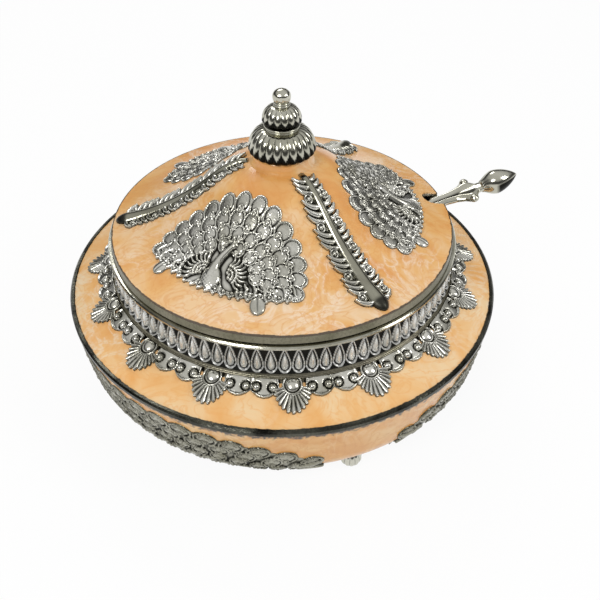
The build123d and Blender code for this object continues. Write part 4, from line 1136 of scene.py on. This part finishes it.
def bud_surface():
    """A pointed bud turned about the shaft's line, with six small leaves at its foot.

    It swells to its belly at a share of its length and tapers from there; painted shade
    darkens its underside and the valleys between the leaves.
    """
    belly = 0.38
    rise = bud_length * np.sin(np.linspace(0, math.pi / 2, 42)) ** 1.2
    share = rise / bud_length
    swell = 3.0 + 3.6 * np.sin(np.clip(share / belly, 0, 1) * math.pi / 2) ** 1.3
    taper = (1 - np.clip((share - belly) / (1 - belly), 0, 1) ** 1.7) ** 0.8
    radius = np.maximum(swell * taper, 0.05)
    angle = ring_angles(84)
    leaf = sawtooth(angle, 6)[None, :]
    rise, share = rise[:, None], share[:, None]
    size = radius[:, None] * (1 + 0.10 * dome(leaf) * np.clip(1 - rise / 5.5, 0, 1))
    section = (bud_start + way_out * rise)[:, None, :] + way_up * (size * np.sin(angle))[..., None]
    # Painted shade in the valleys between the leaves and on the underside.
    valley = 0.8 * (leaf > 0.85) * np.clip(1 - rise / 5, 0, 1)
    shaded = (np.clip((-0.30 - np.sin(angle + 0.7)) * 5, 0, 0.9)
              * np.clip((share - 0.3) * 8, 0, 1))
    return closed_pod(spoon_place(section, size * np.cos(angle)), np.maximum(valley, shaded))


def curl_surface(side):
    """A scroll's ball at the shoulder: a round knob in a rolled collar."""
    bearing = np.linspace(-math.pi / 2, math.pi / 2, 18)[1:-1]
    angle = ring_angles(40)
    size = 2.5 * np.cos(bearing) * (1 - 0.16 * np.exp(-((bearing - 0.75) / 0.16) ** 2))
    rise = 2.1 * np.sin(bearing) + 0.5
    section = (exit_point + way_out * shoulder_run + rise[:, None, None] * way_up
               + (size[:, None] * np.cos(angle))[..., None] * way_out)
    return closed_pod(spoon_place(section, side * 7.6 + size[:, None] * np.sin(angle)))


make_piece("spoon_stem",
           joined([shaft_surface(), bud_surface(), curl_surface(-1), curl_surface(1)]),
           "spoon", smooth_metal, ["spoon_handle"])


# Floor, light and camera

def floor_finish():
    """White floor: mostly its own white for what is seen, with a share that takes the shadow."""
    material = bpy.data.materials.new("floor_white")
    f = Nodes(material)
    f.nodes.remove(f.nodes["Principled BSDF"])
    lit = f.node("ShaderNodeBsdfDiffuse", "BSDF", Color=grey(0.9))
    glow = f.node("ShaderNodeEmission", "Emission", Color=grey(1.0), Strength=1.0)
    seen = f.seen_by("Is Camera Ray", "Is Glossy Ray", "Is Transmission Ray")
    f.feed(f.nodes["Material Output"].inputs["Surface"],
           f.mix_shaders(f.reckon("MULTIPLY", seen, 0.92), lit, glow))
    return material


def studio_world():
    """Soft light from all round, dark and pale walls in what is reflected, white behind it all."""
    world = bpy.data.worlds.new("studio")
    w = Nodes(world)
    w.feed_all(w.nodes["Background"], {"Color": grey(1.0), "Strength": 0.55})
    split = w.node("ShaderNodeSeparateXYZ", "Z", Vector=w.coordinates["Generated"])
    walls = w.levels(split, (0.04, 1.0), (0.14, 0.10), (0.42, 0.05), (0.62, 0.55), (0.9, 0.75))
    walls = w.node("ShaderNodeBackground", "Background", Color=walls, Strength=1.0)
    white = w.node("ShaderNodeBackground", "Background", Color=grey(1.0), Strength=1.0)
    reflected = w.mix_shaders(w.seen_by("Is Glossy Ray", "Is Transmission Ray"),
                              w.nodes["Background"].outputs[0], walls)
    w.feed(w.nodes["World Output"].inputs["Surface"],
           w.mix_shaders(w.seen_by("Is Camera Ray"), reflected, white))
    return world


def facing(place, side, up, back):
    """The matrix of an object at a place, from the ways of its own axes."""
    axes = Matrix(np.stack([side, up, back], axis=1).tolist()).to_4x4()
    return Matrix.Translation(place) @ axes


def add_lamp(name, place, width, height, power):
    """A soft rectangular lamp that points at the box."""
    data = bpy.data.lights.new(name, "AREA")
    data.shape = "RECTANGLE"
    data.size, data.size_y = width, height
    data.energy = power
    back = np.subtract(place, (0, 0, 0.07))
    back /= np.linalg.norm(back)
    side = np.cross((0, 0, 1), back)
    side /= np.linalg.norm(side)
    put_in_scene(name, data).matrix_world = facing(place, side, np.cross(back, side), back)


floor_half = 4
floor_mesh = bpy.data.meshes.new("floor")
floor_mesh.from_pydata([(x * floor_half, y * floor_half, 0)
                        for x, y in ((-1, -1), (1, -1), (1, 1), (-1, 1))], [], [(0, 1, 2, 3)])
floor_mesh.materials.append(floor_finish())
floor = put_in_scene("floor", floor_mesh)
bpy.context.scene.world = studio_world()
add_lamp("key_lamp", (-0.45, -0.75, 0.95), width=0.45, height=0.30, power=5.0)
add_lamp("side_lamp", (0.85, -0.25, 0.75), width=0.30, height=0.45, power=3.0)
add_lamp("back_lamp", (-0.2, 0.8, 0.9), width=0.5, height=0.2, power=2.2)

camera_place = (0.00955, -0.29660, 0.29877)
tilt, roll = math.radians(42.14), math.radians(0.66)
camera_data = bpy.data.cameras.new("camera")
camera_data.lens = 41.03
camera_data.sensor_width = 36.0
camera = put_in_scene("camera", camera_data)
backward = np.array((0, -math.cos(tilt), math.sin(tilt)))
above = np.array((0, math.sin(tilt), math.cos(tilt)))
level = np.array((1, 0, 0))
camera.matrix_world = facing(camera_place, math.cos(roll) * level + math.sin(roll) * above,
                             math.cos(roll) * above - math.sin(roll) * level, backward)
bpy.context.scene.camera = camera
bpy.context.scene.view_settings.view_transform = "Standard"

bpy.context.view_layer.update()
